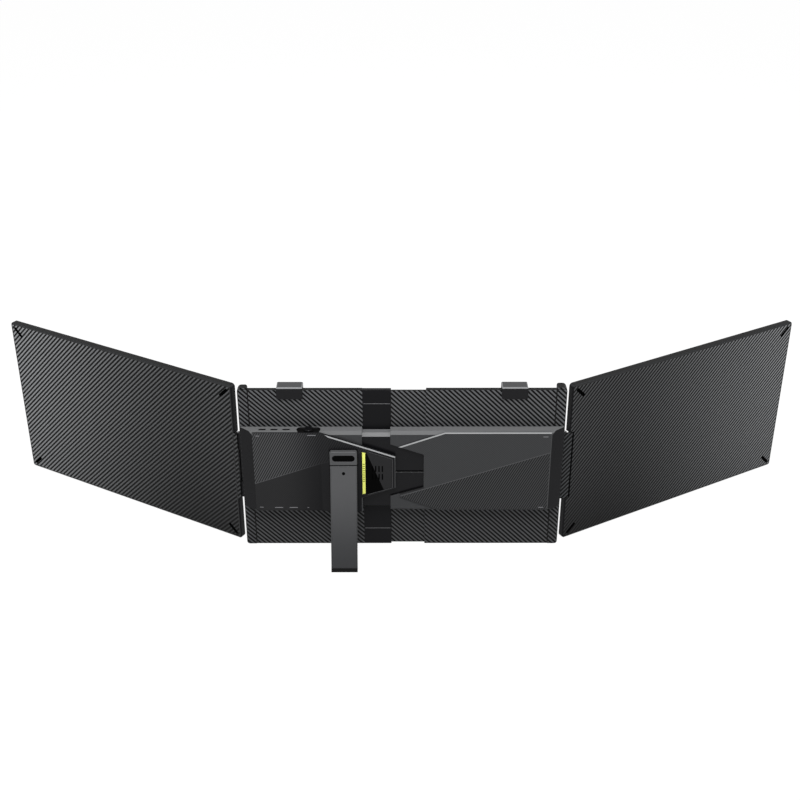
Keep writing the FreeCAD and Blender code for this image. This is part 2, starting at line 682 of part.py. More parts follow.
def right_housing():
    """The right casing shell with the notch that the nose slides into."""
    base = PLATE_BACK - RIDE_GAP
    outer = prism_x(housing_section(0, 0, PLATE_BACK), RIGHT_PLATE_X, HOUSING_OUTER_X)
    riding = prism_x(housing_section(0, 0, base), RIGHT_HOUSING_START_X, RIGHT_PLATE_X)
    outer = outer.fuse(riding)
    inner_end = HOUSING_OUTER_X - HOUSING_END_SLOPE - HOUSING_WALL
    inner = prism_x(housing_section(HOUSING_WALL, HOUSING_WALL, PLATE_BACK + 1),
                    RIGHT_HOUSING_START_X - 1, inner_end)
    shell = outer.cut(inner)
    for post in bosses(1):
        shell = shell.fuse(post)
    notch = prism_y(nose_outline(NOTCH_GAP, CLOSE_TRAVEL), HOUSING_BACK - 1, BRIDGE_BACK)
    shell = shell.cut(end_wedge(1)).cut(notch)
    return shell.removeSplitter()


def right_cover():
    """The right cover plate, cut back along the same notch."""
    end_x = HOUSING_OUTER_X - HOUSING_END_SLOPE
    low = HOUSING_BOTTOM + COVER_LOW_STEP
    outline = [(RIGHT_COVER_HEAD_X, HOUSING_TOP - RIGHT_COVER_HEAD_DROP),
               (RIGHT_COVER_TOP_X, HOUSING_TOP), (end_x, HOUSING_TOP),
               (end_x, low), (RIGHT_COVER_LOW_X, low),
               (RIGHT_COVER_FOOT_X, HOUSING_BOTTOM + RIGHT_COVER_FOOT_RISE)]
    slab = prism_y(outline, COVER_BACK, HOUSING_BACK)
    notch = prism_y(nose_outline(NOTCH_GAP, CLOSE_TRAVEL), COVER_BACK - 1, HOUSING_BACK + 1)
    slab = slab.cut(notch)
    back_edges = edges_where(slab, lambda a, b: near(a.y, COVER_BACK) and near(b.y, COVER_BACK))
    return slab.makeChamfer(COVER_EDGE, back_edges)


def slide_bridge():
    """The black inner sleeve that keeps the casing closed when the plate is pulled out."""
    base = PLATE_BACK - RIDE_GAP
    high = BRIDGE_HEIGHT_INSET
    riding = prism_x(housing_section(BRIDGE_INSET, high, base), BRIDGE_LEFT_X, RIGHT_PLATE_X)
    seated = prism_x(housing_section(BRIDGE_INSET, high, PLATE_BACK), RIGHT_PLATE_X, BRIDGE_RIGHT_X)
    outer = riding.fuse(seated)
    inner = prism_x(housing_section(BRIDGE_INSET + BRIDGE_WALL, high + BRIDGE_WALL, PLATE_BACK + 1),
                    BRIDGE_LEFT_X - 1, BRIDGE_RIGHT_X + 1)
    middle = (HOUSING_BOTTOM + HOUSING_TOP) / 2 + 1
    groove = box(BRIDGE_LEFT_X, BRIDGE_RIGHT_X, BRIDGE_BACK - 1, BRIDGE_BACK + 0.5,
                 middle - BRIDGE_GROOVE / 2, middle + BRIDGE_GROOVE / 2)
    return outer.cut(inner).cut(groove).removeSplitter()


def main_board():
    """The control board on short posts behind the ports."""
    x0 = -(HOUSING_OUTER_X - HOUSING_END_SLOPE - BOARD_END_MARGIN)
    x1 = BUTTON_X - BOARD_BUTTON_MARGIN
    z0 = HOUSING_BOTTOM + BOARD_HEIGHT_MARGIN
    z1 = HOUSING_TOP - BOARD_HEIGHT_MARGIN
    y0 = PLATE_BACK - BOARD_STANDOFF
    board = box(x0, x1, y0 - BOARD_THICKNESS, y0, z0, z1)
    half = POST_SIZE / 2
    for x in (x0 + POST_INSET, x1 - POST_INSET):
        for z in (z0 + POST_INSET, z1 - POST_INSET):
            board = board.fuse(box(x - half, x + half, y0, PLATE_BACK, z - half, z + half))
    centre = (x0 + x1) / 2
    low = y0 - BOARD_THICKNESS
    for size, share in ((CHIP_SIZE, 0.5), (CHIP_SIZE * 0.6, 0.2)):
        z = z0 + (z1 - z0) * share
        board = board.fuse(box(centre - size / 2, centre + size / 2, low - CHIP_THICKNESS, low,
                               z - size / 2, z + size / 2))
    return board.removeSplitter()


# Wing hinges


def left_hinge_bracket():
    """The fixed leaf: a foot on the rail and an arm to each end knuckle."""
    web_x = LEFT_AXIS_X + 8.0
    arm_top = LEFT_AXIS_Y - KNUCKLE_RADIUS + LEAF
    arm_low = LEFT_AXIS_Y - KNUCKLE_RADIUS
    front = LEFT_HINGE_RAIL_FRONT
    foot = box(web_x, -RAIL_INNER_X - 1.0, front, front + LEAF,
               HINGE_BOTTOM + 2, HINGE_TOP - 2)
    bracket = foot
    for z0, z1 in left_end_spans():
        arm = box(LEFT_AXIS_X, web_x + LEAF, arm_low, arm_top, z0, z1)
        web = box(web_x, web_x + LEAF, front, arm_top, z0, z1)
        barrel = cylinder(KNUCKLE_RADIUS, z1 - z0, vec(LEFT_AXIS_X, LEFT_AXIS_Y, z0), vec(0, 0, 1))
        bracket = bracket.fuse([arm, web, barrel])
    bore = cylinder(PIN_RADIUS, HINGE_TOP - HINGE_BOTTOM,
                    vec(LEFT_AXIS_X, LEFT_AXIS_Y, HINGE_BOTTOM), vec(0, 0, 1))
    return bracket.cut(bore).removeSplitter()


def left_end_spans():
    """The heights of the two fixed knuckles of the left hinge."""
    low = HINGE_BOTTOM + 2
    high = HINGE_TOP - 2
    return ((low, low + LEFT_END_KNUCKLE), (high - LEFT_END_KNUCKLE, high))


def right_end_spans():
    """The heights of the two outer knuckles on both axes of the right hinge."""
    low = HINGE_BOTTOM + 2
    high = HINGE_TOP - 2
    return ((low, low + RIGHT_END_KNUCKLE), (high - RIGHT_END_KNUCKLE, high))


def hinge_pin(x, y):
    return cylinder(PIN_RADIUS, HINGE_TOP - HINGE_BOTTOM - 3, vec(x, y, HINGE_BOTTOM + 1.5),
                    vec(0, 0, 1))


def right_hinge_bracket():
    """The fixed leaf of the double hinge, stepped clear of the turning link."""
    x, y = PLATE_AXIS_X, PLATE_AXIS_Y
    front = RIGHT_HINGE_RAIL_FRONT
    outer_x = x - KNUCKLE_RADIUS - 1.1
    inner_x = outer_x - 3.7
    foot = box(RAIL_INNER_X + 1.0, outer_x, front, front + LEAF, HINGE_BOTTOM + 2, HINGE_TOP - 2)
    bracket = foot
    for z0, z1 in right_end_spans():
        web = box(inner_x, outer_x, front, y - 2.4, z0, z1)
        neck = box(x - KNUCKLE_RADIUS - 1.8, x - 1.6, y - 2.7, y + 1.0, z0, z1)
        barrel = cylinder(KNUCKLE_RADIUS, z1 - z0, vec(x, y, z0), vec(0, 0, 1))
        bracket = bracket.fuse([web, neck, barrel])
    bore = cylinder(PIN_RADIUS, HINGE_TOP - HINGE_BOTTOM, vec(x, y, HINGE_BOTTOM), vec(0, 0, 1))
    return bracket.cut(bore).removeSplitter()


def place_link(shape):
    """Turn a shape drawn about the plate's axis to the link's rest angle."""
    placed = shape.copy()
    placed.rotate(vec(0, 0, 0), vec(0, 0, 1), LINK_ANGLE)
    placed.translate(vec(PLATE_AXIS_X, PLATE_AXIS_Y, 0))
    return placed


def hinge_link():
    """The link of the double hinge: a back skin and the knuckles of both axes."""
    back = -RIGHT_AXIS_DEPTH
    skin = box(-LINK_INNER_REACH, LINK_LENGTH - 0.3, back, back + LINK_SKIN,
               HINGE_BOTTOM + HINGE_GAP, HINGE_TOP - HINGE_GAP)
    ends = right_end_spans()
    low = ends[0][1] + HINGE_GAP
    high = ends[1][0] - HINGE_GAP
    link = skin
    spans = [(0.0, low, high)] + [(LINK_LENGTH, z0, z1) for z0, z1 in ends]
    for x, z0, z1 in spans:
        barrel = cylinder(KNUCKLE_RADIUS, z1 - z0, vec(x, 0, z0), vec(0, 0, 1))
        web_x1 = min(x + 2.0, LINK_LENGTH - 0.3)
        web = box(x - 2.0, web_x1, back + LINK_SKIN - 0.1, -1.9, z0, z1)
        link = link.fuse([barrel, web])
    plate_bore = cylinder(PIN_RADIUS + RUN_FIT, HINGE_TOP, vec(0, 0, 0), vec(0, 0, 1))
    wing_bore = cylinder(PIN_RADIUS, HINGE_TOP, vec(LINK_LENGTH, 0, 0), vec(0, 0, 1))
    return place_link(link.cut(plate_bore).cut(wing_bore).removeSplitter())


# Screen wings. Each is drawn with its hinge axis at x = 0, y = 0 and its length along +X.


def wing_block(start, depth, y0, y1, round_back):
    """The rounded outline of a wing between two depths from its back face."""
    low = -depth + y0
    high = -depth + y1
    block = rounded_plate(start, start + WING_LENGTH, low, high, 0, WING_HEIGHT, WING_CORNER)
    if round_back:
        rim = [edge for edge in block.Edges
               if near(edge.BoundBox.YMin, low) and near(edge.BoundBox.YMax, low)]
        block = block.makeChamfer(WING_EDGE_BEVEL, rim)
    return block


def slot_centres(start):
    """The corner slots: x, z and the way each one points."""
    places = []
    for x, sx in ((start + SLOT_INSET, 1), (start + WING_LENGTH - SLOT_INSET, -1)):
        for z, sz in ((SLOT_INSET, 1), (WING_HEIGHT - SLOT_INSET, -1)):
            places.append((x, z, 45.0 * sx * sz))
    return places


def corner_slots(start, depth, inset, thickness):
    """Slanting bars with clipped corners, set in the back face near each corner."""
    bars = []
    long = SLOT_LENGTH / 2 - inset
    wide = SLOT_WIDTH / 2 - inset
    for x, z, angle in slot_centres(start):
        y0 = -depth + SLOT_DEPTH - thickness
        bar = box(-long, long, y0, y0 + thickness, -wide, wide)
        bar = bar.makeChamfer(SLOT_CORNER, edges_where(bar, lambda a, b: parallel(a, b, 1)))
        bar.rotate(vec(0, 0, 0), vec(0, 1, 0), -angle)
        bar.translate(vec(x, 0, z))
        bars.append(bar)
    return group(bars)


def wing_back_cover(start, depth, notch, tongue):
    """The tray of a wing, with its notch for the hinge."""
    lip = WING_THICKNESS - BEZEL_THICKNESS
    cover = wing_block(start, depth, 0, lip, True)
    hollow = box(start + WING_WALL, start + WING_LENGTH - WING_WALL, -depth + WING_SKIN,
                 -depth + lip + 1, WING_WALL, WING_HEIGHT - WING_WALL)
    cover = cover.cut(hollow)
    wall = box(notch, notch + WING_WALL, -depth + WING_SKIN, -depth + lip,
               HINGE_BOTTOM - WING_WALL, HINGE_TOP + WING_WALL)
    cover = cover.fuse(wall)
    for z0, z1 in ((HINGE_BOTTOM - WING_WALL, HINGE_BOTTOM), (HINGE_TOP, HINGE_TOP + WING_WALL)):
        cover = cover.fuse(box(start + WING_WALL, notch, -depth + WING_SKIN, -depth + lip, z0, z1))
    back = -depth + WING_SKIN if tongue > 0 else -depth - 1
    edge = notch if tongue > 0 else 0.4
    cover = cover.cut(box(start - 1, notch, -depth + WING_SKIN, 9, HINGE_BOTTOM, HINGE_TOP))
    cover = cover.cut(box(start - 1, min(edge, notch), back, 9, HINGE_BOTTOM, HINGE_TOP))
    if tongue > 0:
        reach = box(-tongue, start + 3, -depth, -depth + WING_SKIN,
                    HINGE_BOTTOM + HINGE_GAP, HINGE_TOP - HINGE_GAP)
        corner = box(-tongue - 1, start + 3, -depth - 1, -depth + WING_SKIN,
                     HINGE_BOTTOM, HINGE_BOTTOM + HINGE_GAP)
        cover = cover.fuse(reach).cut(corner)
        cover = cover.cut(corner.translated(vec(0, 0, HINGE_TOP - HINGE_GAP - HINGE_BOTTOM)))
    leaf_slot = wing_leaf_plate(depth, notch)
    return cover.cut(leaf_slot).cut(corner_slots(start, depth, 0, SLOT_DEPTH + 1)).removeSplitter()


def wing_leaf_plate(depth, notch):
    y0 = -depth + WING_SKIN
    low, high = leaf_span(depth)
    return box(0, notch + LEAF_REACH, y0, y0 + LEAF, low, high)


def leaf_span(depth):
    """The height of the wing's middle knuckle."""
    spans = left_end_spans() if depth == LEFT_AXIS_DEPTH else right_end_spans()
    return spans[0][1] + HINGE_GAP, spans[1][0] - HINGE_GAP


def wing_hinge_leaf(depth, notch):
    """The steel leaf inside the wing with the middle knuckle on its edge."""
    low, high = leaf_span(depth)
    plate = wing_leaf_plate(depth, notch)
    barrel = cylinder(KNUCKLE_RADIUS, high - low, vec(0, 0, low), vec(0, 0, 1))
    web = box(0, 2.6, -depth + WING_SKIN, -1.9, low, high)
    bore = cylinder(PIN_RADIUS + RUN_FIT, high - low, vec(0, 0, low), vec(0, 0, 1))
    return plate.fuse([barrel, web]).cut(bore).removeSplitter()


def screen_window(start, grow):
    """The x and z limits of the visible screen."""
    x = start + WING_LENGTH / 2
    z = WING_HEIGHT / 2
    return (x - SCREEN_LENGTH / 2 - grow, x + SCREEN_LENGTH / 2 + grow,
            z - SCREEN_HEIGHT / 2 - grow, z + SCREEN_HEIGHT / 2 + grow)


def wing_bezel(start, depth, notch):
    """The front frame round the screen, notched for the hinge."""
    lip = WING_THICKNESS - BEZEL_THICKNESS
    frame = wing_block(start, depth, lip, WING_THICKNESS, False)
    x0, x1, z0, z1 = screen_window(start, 0)
    frame = frame.cut(box(x0, x1, -depth, 9, z0, z1))
    return frame.cut(box(start - 1, notch, -depth, 9, HINGE_BOTTOM, HINGE_TOP))


def wing_screen(start, depth):
    """The display panel behind the frame."""
    lip = WING_THICKNESS - BEZEL_THICKNESS
    x0, x1, z0, z1 = screen_window(start, SCREEN_LAP)
    return box(x0, x1, -depth + lip - SCREEN_THICKNESS, -depth + lip, z0, z1)


def wing_board(start, depth):
    """The driver board along the lower edge, on the floor of the tray."""
    x0 = start + WING_LENGTH * WING_BOARD_SHARE
    y0 = -depth + WING_SKIN
    y1 = y0 + WING_BOARD_THICKNESS
    z0 = WING_BOARD_BOTTOM
    board = box(x0, x0 + WING_BOARD_LENGTH, y0, y1, z0, z0 + WING_BOARD_HEIGHT)
    chip_z = z0 + (WING_BOARD_HEIGHT - WING_CHIP_SIZE) / 2
    for share in (0.15, 0.43, 0.75):
        x = x0 + WING_BOARD_LENGTH * share
        board = board.fuse(box(x, x + WING_CHIP_SIZE, y1, y1 + WING_CHIP_THICKNESS,
                               chip_z, chip_z + WING_CHIP_SIZE))
    return board.removeSplitter()


def place_left(shape):
    placed = shape.mirror(vec(0, 0, 0), vec(1, 0, 0))
    placed.rotate(vec(0, 0, 0), vec(0, 0, 1), -REST_ANGLE)
    placed.translate(vec(LEFT_AXIS_X, LEFT_AXIS_Y, 0))
    return placed


def place_right(shape):
    placed = shape.copy()
    placed.rotate(vec(0, 0, 0), vec(0, 0, 1), REST_ANGLE)
    placed.translate(vec(RIGHT_WING_AXIS_X, RIGHT_WING_AXIS_Y, 0))
    return placed


def wing_parts(start, depth, notch, tongue):
    """Every piece of one wing, keyed by the end of its name."""
    return {
        "wing_back_cover": wing_back_cover(start, depth, notch, tongue),
        "wing_bezel": wing_bezel(start, depth, notch),
        "wing_screen": wing_screen(start, depth),
        "wing_driver_board": wing_board(start, depth),
        "wing_hinge_leaf": wing_hinge_leaf(depth, notch),
        "wing_corner_inlays": corner_slots(start, depth, INLAY_GAP, SLOT_DEPTH - 0.2),
    }


# Lid clips


def spring_anchor(x):
    """The peg that holds the lower end of a clip's spring."""
    half = ANCHOR_WIDTH / 2
    return box(x - half, x + half, CAVITY_BACK + SLIDE_GAP, CAVITY_FRONT,
               SPRING_BOTTOM - ANCHOR_HEIGHT, SPRING_BOTTOM)


def lid_clip(x):
    """A hook over the lid, with a tail that slides inside the plate."""
    half = CLIP_WIDTH / 2
    back = PLATE_BACK - CLIP_SEAT_GAP - CLIP_BACK_THICKNESS
    roof_low = PLATE_HEIGHT + CLIP_ROOF_GAP
    section = [(back, CLIP_BACK_BOTTOM), (PLATE_BACK - CLIP_SEAT_GAP, CLIP_BACK_BOTTOM),
               (PLATE_BACK - CLIP_SEAT_GAP, roof_low), (CLIP_LIP_BACK, roof_low),
               (CLIP_LIP_BACK, roof_low - CLIP_LIP_DROP), (CLIP_LIP_FRONT, roof_low - CLIP_LIP_DROP),
               (CLIP_LIP_FRONT, CLIP_TOP - CLIP_BEVEL), (CLIP_LIP_FRONT - CLIP_BEVEL, CLIP_TOP),
               (back + CLIP_BEVEL, CLIP_TOP), (back, CLIP_TOP - CLIP_BEVEL)]
    hook = prism_x(section, x - half, x + half)
    hook = hook.common(rounded_plate(x - half, x + half, back, CLIP_LIP_FRONT,
                                     CLIP_BACK_BOTTOM, CLIP_TOP, CLIP_CORNER))
    tail_half = CLIP_TAIL_WIDTH / 2
    thick = CLIP_TAIL_THICKNESS / 2
    tail = box(x - tail_half, x + tail_half, -thick, thick, CLIP_TAIL_BOTTOM, roof_low + 0.5)
    return hook.fuse(tail).removeSplitter()


def clip_pad(x):
    """The soft lining under the roof of a clip."""
    half = CLIP_WIDTH / 2 - 2
    top = PLATE_HEIGHT + CLIP_ROOF_GAP
    return box(x - half, x + half, PLATE_FRONT + CLIP_BEVEL, CLIP_LIP_BACK,
               top - CLIP_PAD_THICKNESS, top)


def clip_spring(x):
    """The tension spring between the anchor peg and the tail of a clip."""
    return cylinder(SPRING_RADIUS, SPRING_LENGTH, vec(x, 0, SPRING_BOTTOM), vec(0, 0, 1))


# Stand


def lug_span():
    return STAND_X - STAND_LUG_WIDTH / 2, STAND_X + STAND_LUG_WIDTH / 2


def stand_mount():
    """The block on the cover that carries the stand, with its middle knuckle."""
    half = STAND_WIDTH / 2 + STAND_HEAD_MARGIN
    radius = STAND_LEG_THICKNESS / 2
    low = STAND_AXIS_Z + radius + STAND_HEAD_GAP
    back = STAND_AXIS_Y - radius
    block = box(STAND_X - half, STAND_X + half, back, NOSE_BACK, low, STAND_HEAD_TOP)
    block = block.makeChamfer(STAND_HEAD_CORNER, edges_where(
        block, lambda a, b: parallel(a, b, 1) and near(a.z, STAND_HEAD_TOP)))
    rim = edges_where(block, lambda a, b: near(a.y, back) and near(b.y, back)
                      and not (near(a.z, low) and near(b.z, low)))
    block = block.makeChamfer(STAND_HEAD_BEVEL, rim)
    x0, x1 = lug_span()
    knuckle = cylinder(radius - 0.1, x1 - x0, vec(x0, STAND_AXIS_Y, STAND_AXIS_Z), vec(1, 0, 0))
    neck = box(x0, x1, STAND_AXIS_Y - radius + 0.8, STAND_AXIS_Y + radius - 0.1,
               STAND_AXIS_Z, low + 0.5)
    bore = cylinder(STAND_PIN_RADIUS, x1 - x0, vec(x0, STAND_AXIS_Y, STAND_AXIS_Z), vec(1, 0, 0))
    pocket = badge_block(INLAY_GAP, back - 1, back + INLAY_DEPTH)
    return block.fuse([knuckle, neck]).cut(bore).cut(pocket).removeSplitter()


def badge_block(grow, y0, y1):
    """The pill shape on the head of the stand."""
    radius = BADGE_HEIGHT / 2 + grow
    flat = BADGE_WIDTH / 2 - BADGE_HEIGHT / 2
    z = BADGE_TOP - BADGE_HEIGHT / 2
    pill = box(STAND_X - flat, STAND_X + flat, y0, y1, z - radius, z + radius)
    for end in (-flat, flat):
        pill = pill.fuse(cylinder(radius, y1 - y0, vec(STAND_X + end, y0, z), vec(0, 1, 0)))
    return pill.removeSplitter()


def stand_badge():
    back = STAND_AXIS_Y - STAND_LEG_THICKNESS / 2
    return badge_block(0, back + 0.05, back + INLAY_DEPTH)


def tilt_stand(shape):
    """Swing a shape drawn upright to the stand's rest angle."""
    placed = shape.copy()
    placed.rotate(vec(STAND_X, STAND_AXIS_Y, STAND_AXIS_Z), vec(1, 0, 0), -STAND_ANGLE)
    return placed


def stand_leg():
    """The flat prop with bevelled sides and a rounded hinge end."""
    half = STAND_WIDTH / 2
    radius = STAND_LEG_THICKNESS / 2
    low = STAND_AXIS_Z - STAND_LEG_LENGTH
    leg = box(STAND_X - half, STAND_X + half, STAND_AXIS_Y - radius, STAND_AXIS_Y + radius,
              low, STAND_AXIS_Z)
    sides = edges_where(leg, lambda a, b: parallel(a, b, 2) and near(a.y, STAND_AXIS_Y - radius))
    leg = leg.makeChamfer(STAND_SIDE_BEVEL, sides)
    barrel = cylinder(radius, 2 * half, vec(STAND_X - half, STAND_AXIS_Y, STAND_AXIS_Z), vec(1, 0, 0))
    leg = leg.fuse(barrel)
    x0, x1 = lug_span()
    leg = leg.cut(box(x0 - 0.2, x1 + 0.2, STAND_AXIS_Y - 4, STAND_AXIS_Y + 4,
                      STAND_AXIS_Z - radius - 0.4, STAND_AXIS_Z + 4))
    bore = cylinder(STAND_PIN_RADIUS + RUN_FIT, 2 * half,
                    vec(STAND_X - half, STAND_AXIS_Y, STAND_AXIS_Z), vec(1, 0, 0))
    hole = cylinder(STAND_HOLE_RADIUS, radius,
                    vec(STAND_X, STAND_AXIS_Y - radius, STAND_AXIS_Z - STAND_HOLE_DROP),
                    vec(0, 1, 0))
    return tilt_stand(leg.cut(bore).cut(hole).removeSplitter())


def stand_foot():
    """The rubber foot, cut level with the desk at the rest angle."""
    half = STAND_WIDTH / 2
    radius = STAND_LEG_THICKNESS / 2
    top = STAND_AXIS_Z - STAND_LEG_LENGTH
    pad = box(STAND_X - half, STAND_X + half, STAND_AXIS_Y - radius, STAND_AXIS_Y + radius,
              top - 3 * FOOT_HEIGHT, top)
    reach = STAND_LEG_LENGTH
    desk = box(STAND_X - STAND_WIDTH, STAND_X + STAND_WIDTH, STAND_AXIS_Y - reach,
               STAND_AXIS_Y + reach, -reach, 0)
    return tilt_stand(pad).cut(desk)


def stand_pin():
    half = STAND_WIDTH / 2 - 0.6
    return cylinder(STAND_PIN_RADIUS, 2 * half, vec(STAND_X - half, STAND_AXIS_Y, STAND_AXIS_Z),
                    vec(1, 0, 0))


def build():
    """Make every sub-part, keyed by its name."""
    parts = {
        "left_back_plate": left_back_plate(),
        "left_front_plate": left_front_plate(),
        "end_sleeve": end_sleeve(),
        "left_side_rail": side_rail(-1, LEFT_RAIL_FRONT, LEFT_HINGE_RAIL_FRONT),
        "left_rail_pad": rail_pad(-1, LEFT_RAIL_FRONT),
        "left_lid_pads": lid_pads(-1),
        "left_housing": left_housing(),
        "left_cover": left_cover(),
        "accent_strip": accent_strip(),
        "nose_window": nose_window(),
        "main_board": main_board(),
        "left_housing_screws": housing_screws(-1),
        "left_hinge_bracket": left_hinge_bracket(),
        "left_hinge_pin": hinge_pin(LEFT_AXIS_X, LEFT_AXIS_Y),
        "menu_button": menu_button(),
        "stand_mount": stand_mount(),
        "stand_badge": stand_badge(),
        "stand_pin": stand_pin(),
        "stand_leg": stand_leg(),
        "stand_foot": stand_foot(),
        "right_back_plate": right_back_plate(),
        "right_front_plate": right_front_plate(),
        "inner_slide_plate": inner_slide_plate(),
        "right_side_rail": side_rail(1, RIGHT_RAIL_FRONT, RIGHT_HINGE_RAIL_FRONT),
        "right_rail_pad": rail_pad(1, RIGHT_RAIL_FRONT),
        "right_lid_pads": lid_pads(1),
        "right_housing": right_housing(),
        "right_cover": right_cover(),
        "slide_bridge": slide_bridge(),
        "right_housing_screws": housing_screws(1),
        "right_hinge_bracket": right_hinge_bracket(),
        "right_plate_hinge_pin": hinge_pin(PLATE_AXIS_X, PLATE_AXIS_Y),
        "right_hinge_link": hinge_link(),
        "right_wing_hinge_pin": hinge_pin(RIGHT_WING_AXIS_X, RIGHT_WING_AXIS_Y),
    }
    for number, x in enumerate(PORT_X, start=1):
        parts["usb_c_port_%d" % number] = usb_c_port(x)
    for name, x in (("left", -CLIP_X), ("right", CLIP_X)):
        parts[name + "_lid_clip"] = lid_clip(x)
        parts[name + "_clip_pad"] = clip_pad(x)
        parts[name + "_clip_spring"] = clip_spring(x)
    left = wing_parts(LEFT_EDGE_OFFSET, LEFT_AXIS_DEPTH, LEFT_NOTCH, TONGUE_REACH)
    right = wing_parts(RIGHT_EDGE_OFFSET, RIGHT_AXIS_DEPTH, RIGHT_NOTCH, 0)
    for name, shape in left.items():
        parts["left_" + name] = place_left(shape)
    for name, shape in right.items():
        parts["right_" + name] = place_right(shape)
    return parts


os.makedirs("parts", exist_ok=True)
for node, solid in build().items():
    solid.translate(vec(0, -FOOTPRINT_MIDDLE_Y, 0))
    save(node, solid)
    print(node, len(solid.Solids), round(solid.Volume, 1), solid.isValid())
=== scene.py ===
"""Looks of the laptop screen extender: a telescoping lid plate with two screen wings."""

import logging
import math
from contextlib import contextmanager
from dataclasses import dataclass, field
from enum import Enum
from itertools import product
from typing import Iterable, Iterator, Sequence

import bpy
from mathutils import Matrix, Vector


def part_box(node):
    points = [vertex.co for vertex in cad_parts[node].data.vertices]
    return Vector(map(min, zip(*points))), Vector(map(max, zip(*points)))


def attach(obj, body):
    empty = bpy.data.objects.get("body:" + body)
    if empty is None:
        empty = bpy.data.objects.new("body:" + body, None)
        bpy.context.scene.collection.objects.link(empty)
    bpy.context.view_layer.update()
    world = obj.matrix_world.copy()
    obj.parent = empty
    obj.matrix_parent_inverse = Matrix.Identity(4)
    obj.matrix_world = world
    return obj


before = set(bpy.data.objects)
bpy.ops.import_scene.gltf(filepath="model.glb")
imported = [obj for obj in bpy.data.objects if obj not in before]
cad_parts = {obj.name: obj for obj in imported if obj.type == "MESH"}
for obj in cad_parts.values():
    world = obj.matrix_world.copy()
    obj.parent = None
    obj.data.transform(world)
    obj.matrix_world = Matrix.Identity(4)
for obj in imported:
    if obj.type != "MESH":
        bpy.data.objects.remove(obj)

MM = 0.001
LOG = logging.getLogger("screen_extender")

Area = tuple[float, float, float, float]
Colour = tuple[float, float, float]
Point = tuple[float, float]
Span = tuple[float, float]
Socket = bpy.types.NodeSocket

# A painted shade fade that ends before it reaches the object, and a seam farther out than any piece

NO_FADE: Span = (-1.0, -2.0)
NO_SEAM = 10.0


class Lean(Enum):
    """Which way a diagonal stripe leans, seen from behind the object."""

    RISING = -1.0
    FALLING = 1.0


class Side(Enum):
    """The two halves of the extender, seen from behind."""

    LEFT = -1
    RIGHT = 1

    @property
    def word(self) -> str:
        """The word that starts the names of this half's pieces."""
        return self.name.lower()


# Shader groups and materials


def opaque(colour: Colour, share: float = 1.0) -> tuple[float, float, float, float]:
    """Gives a colour full alpha, darkened or lightened to a share of itself."""
    return (*(part * share for part in colour), 1.0)


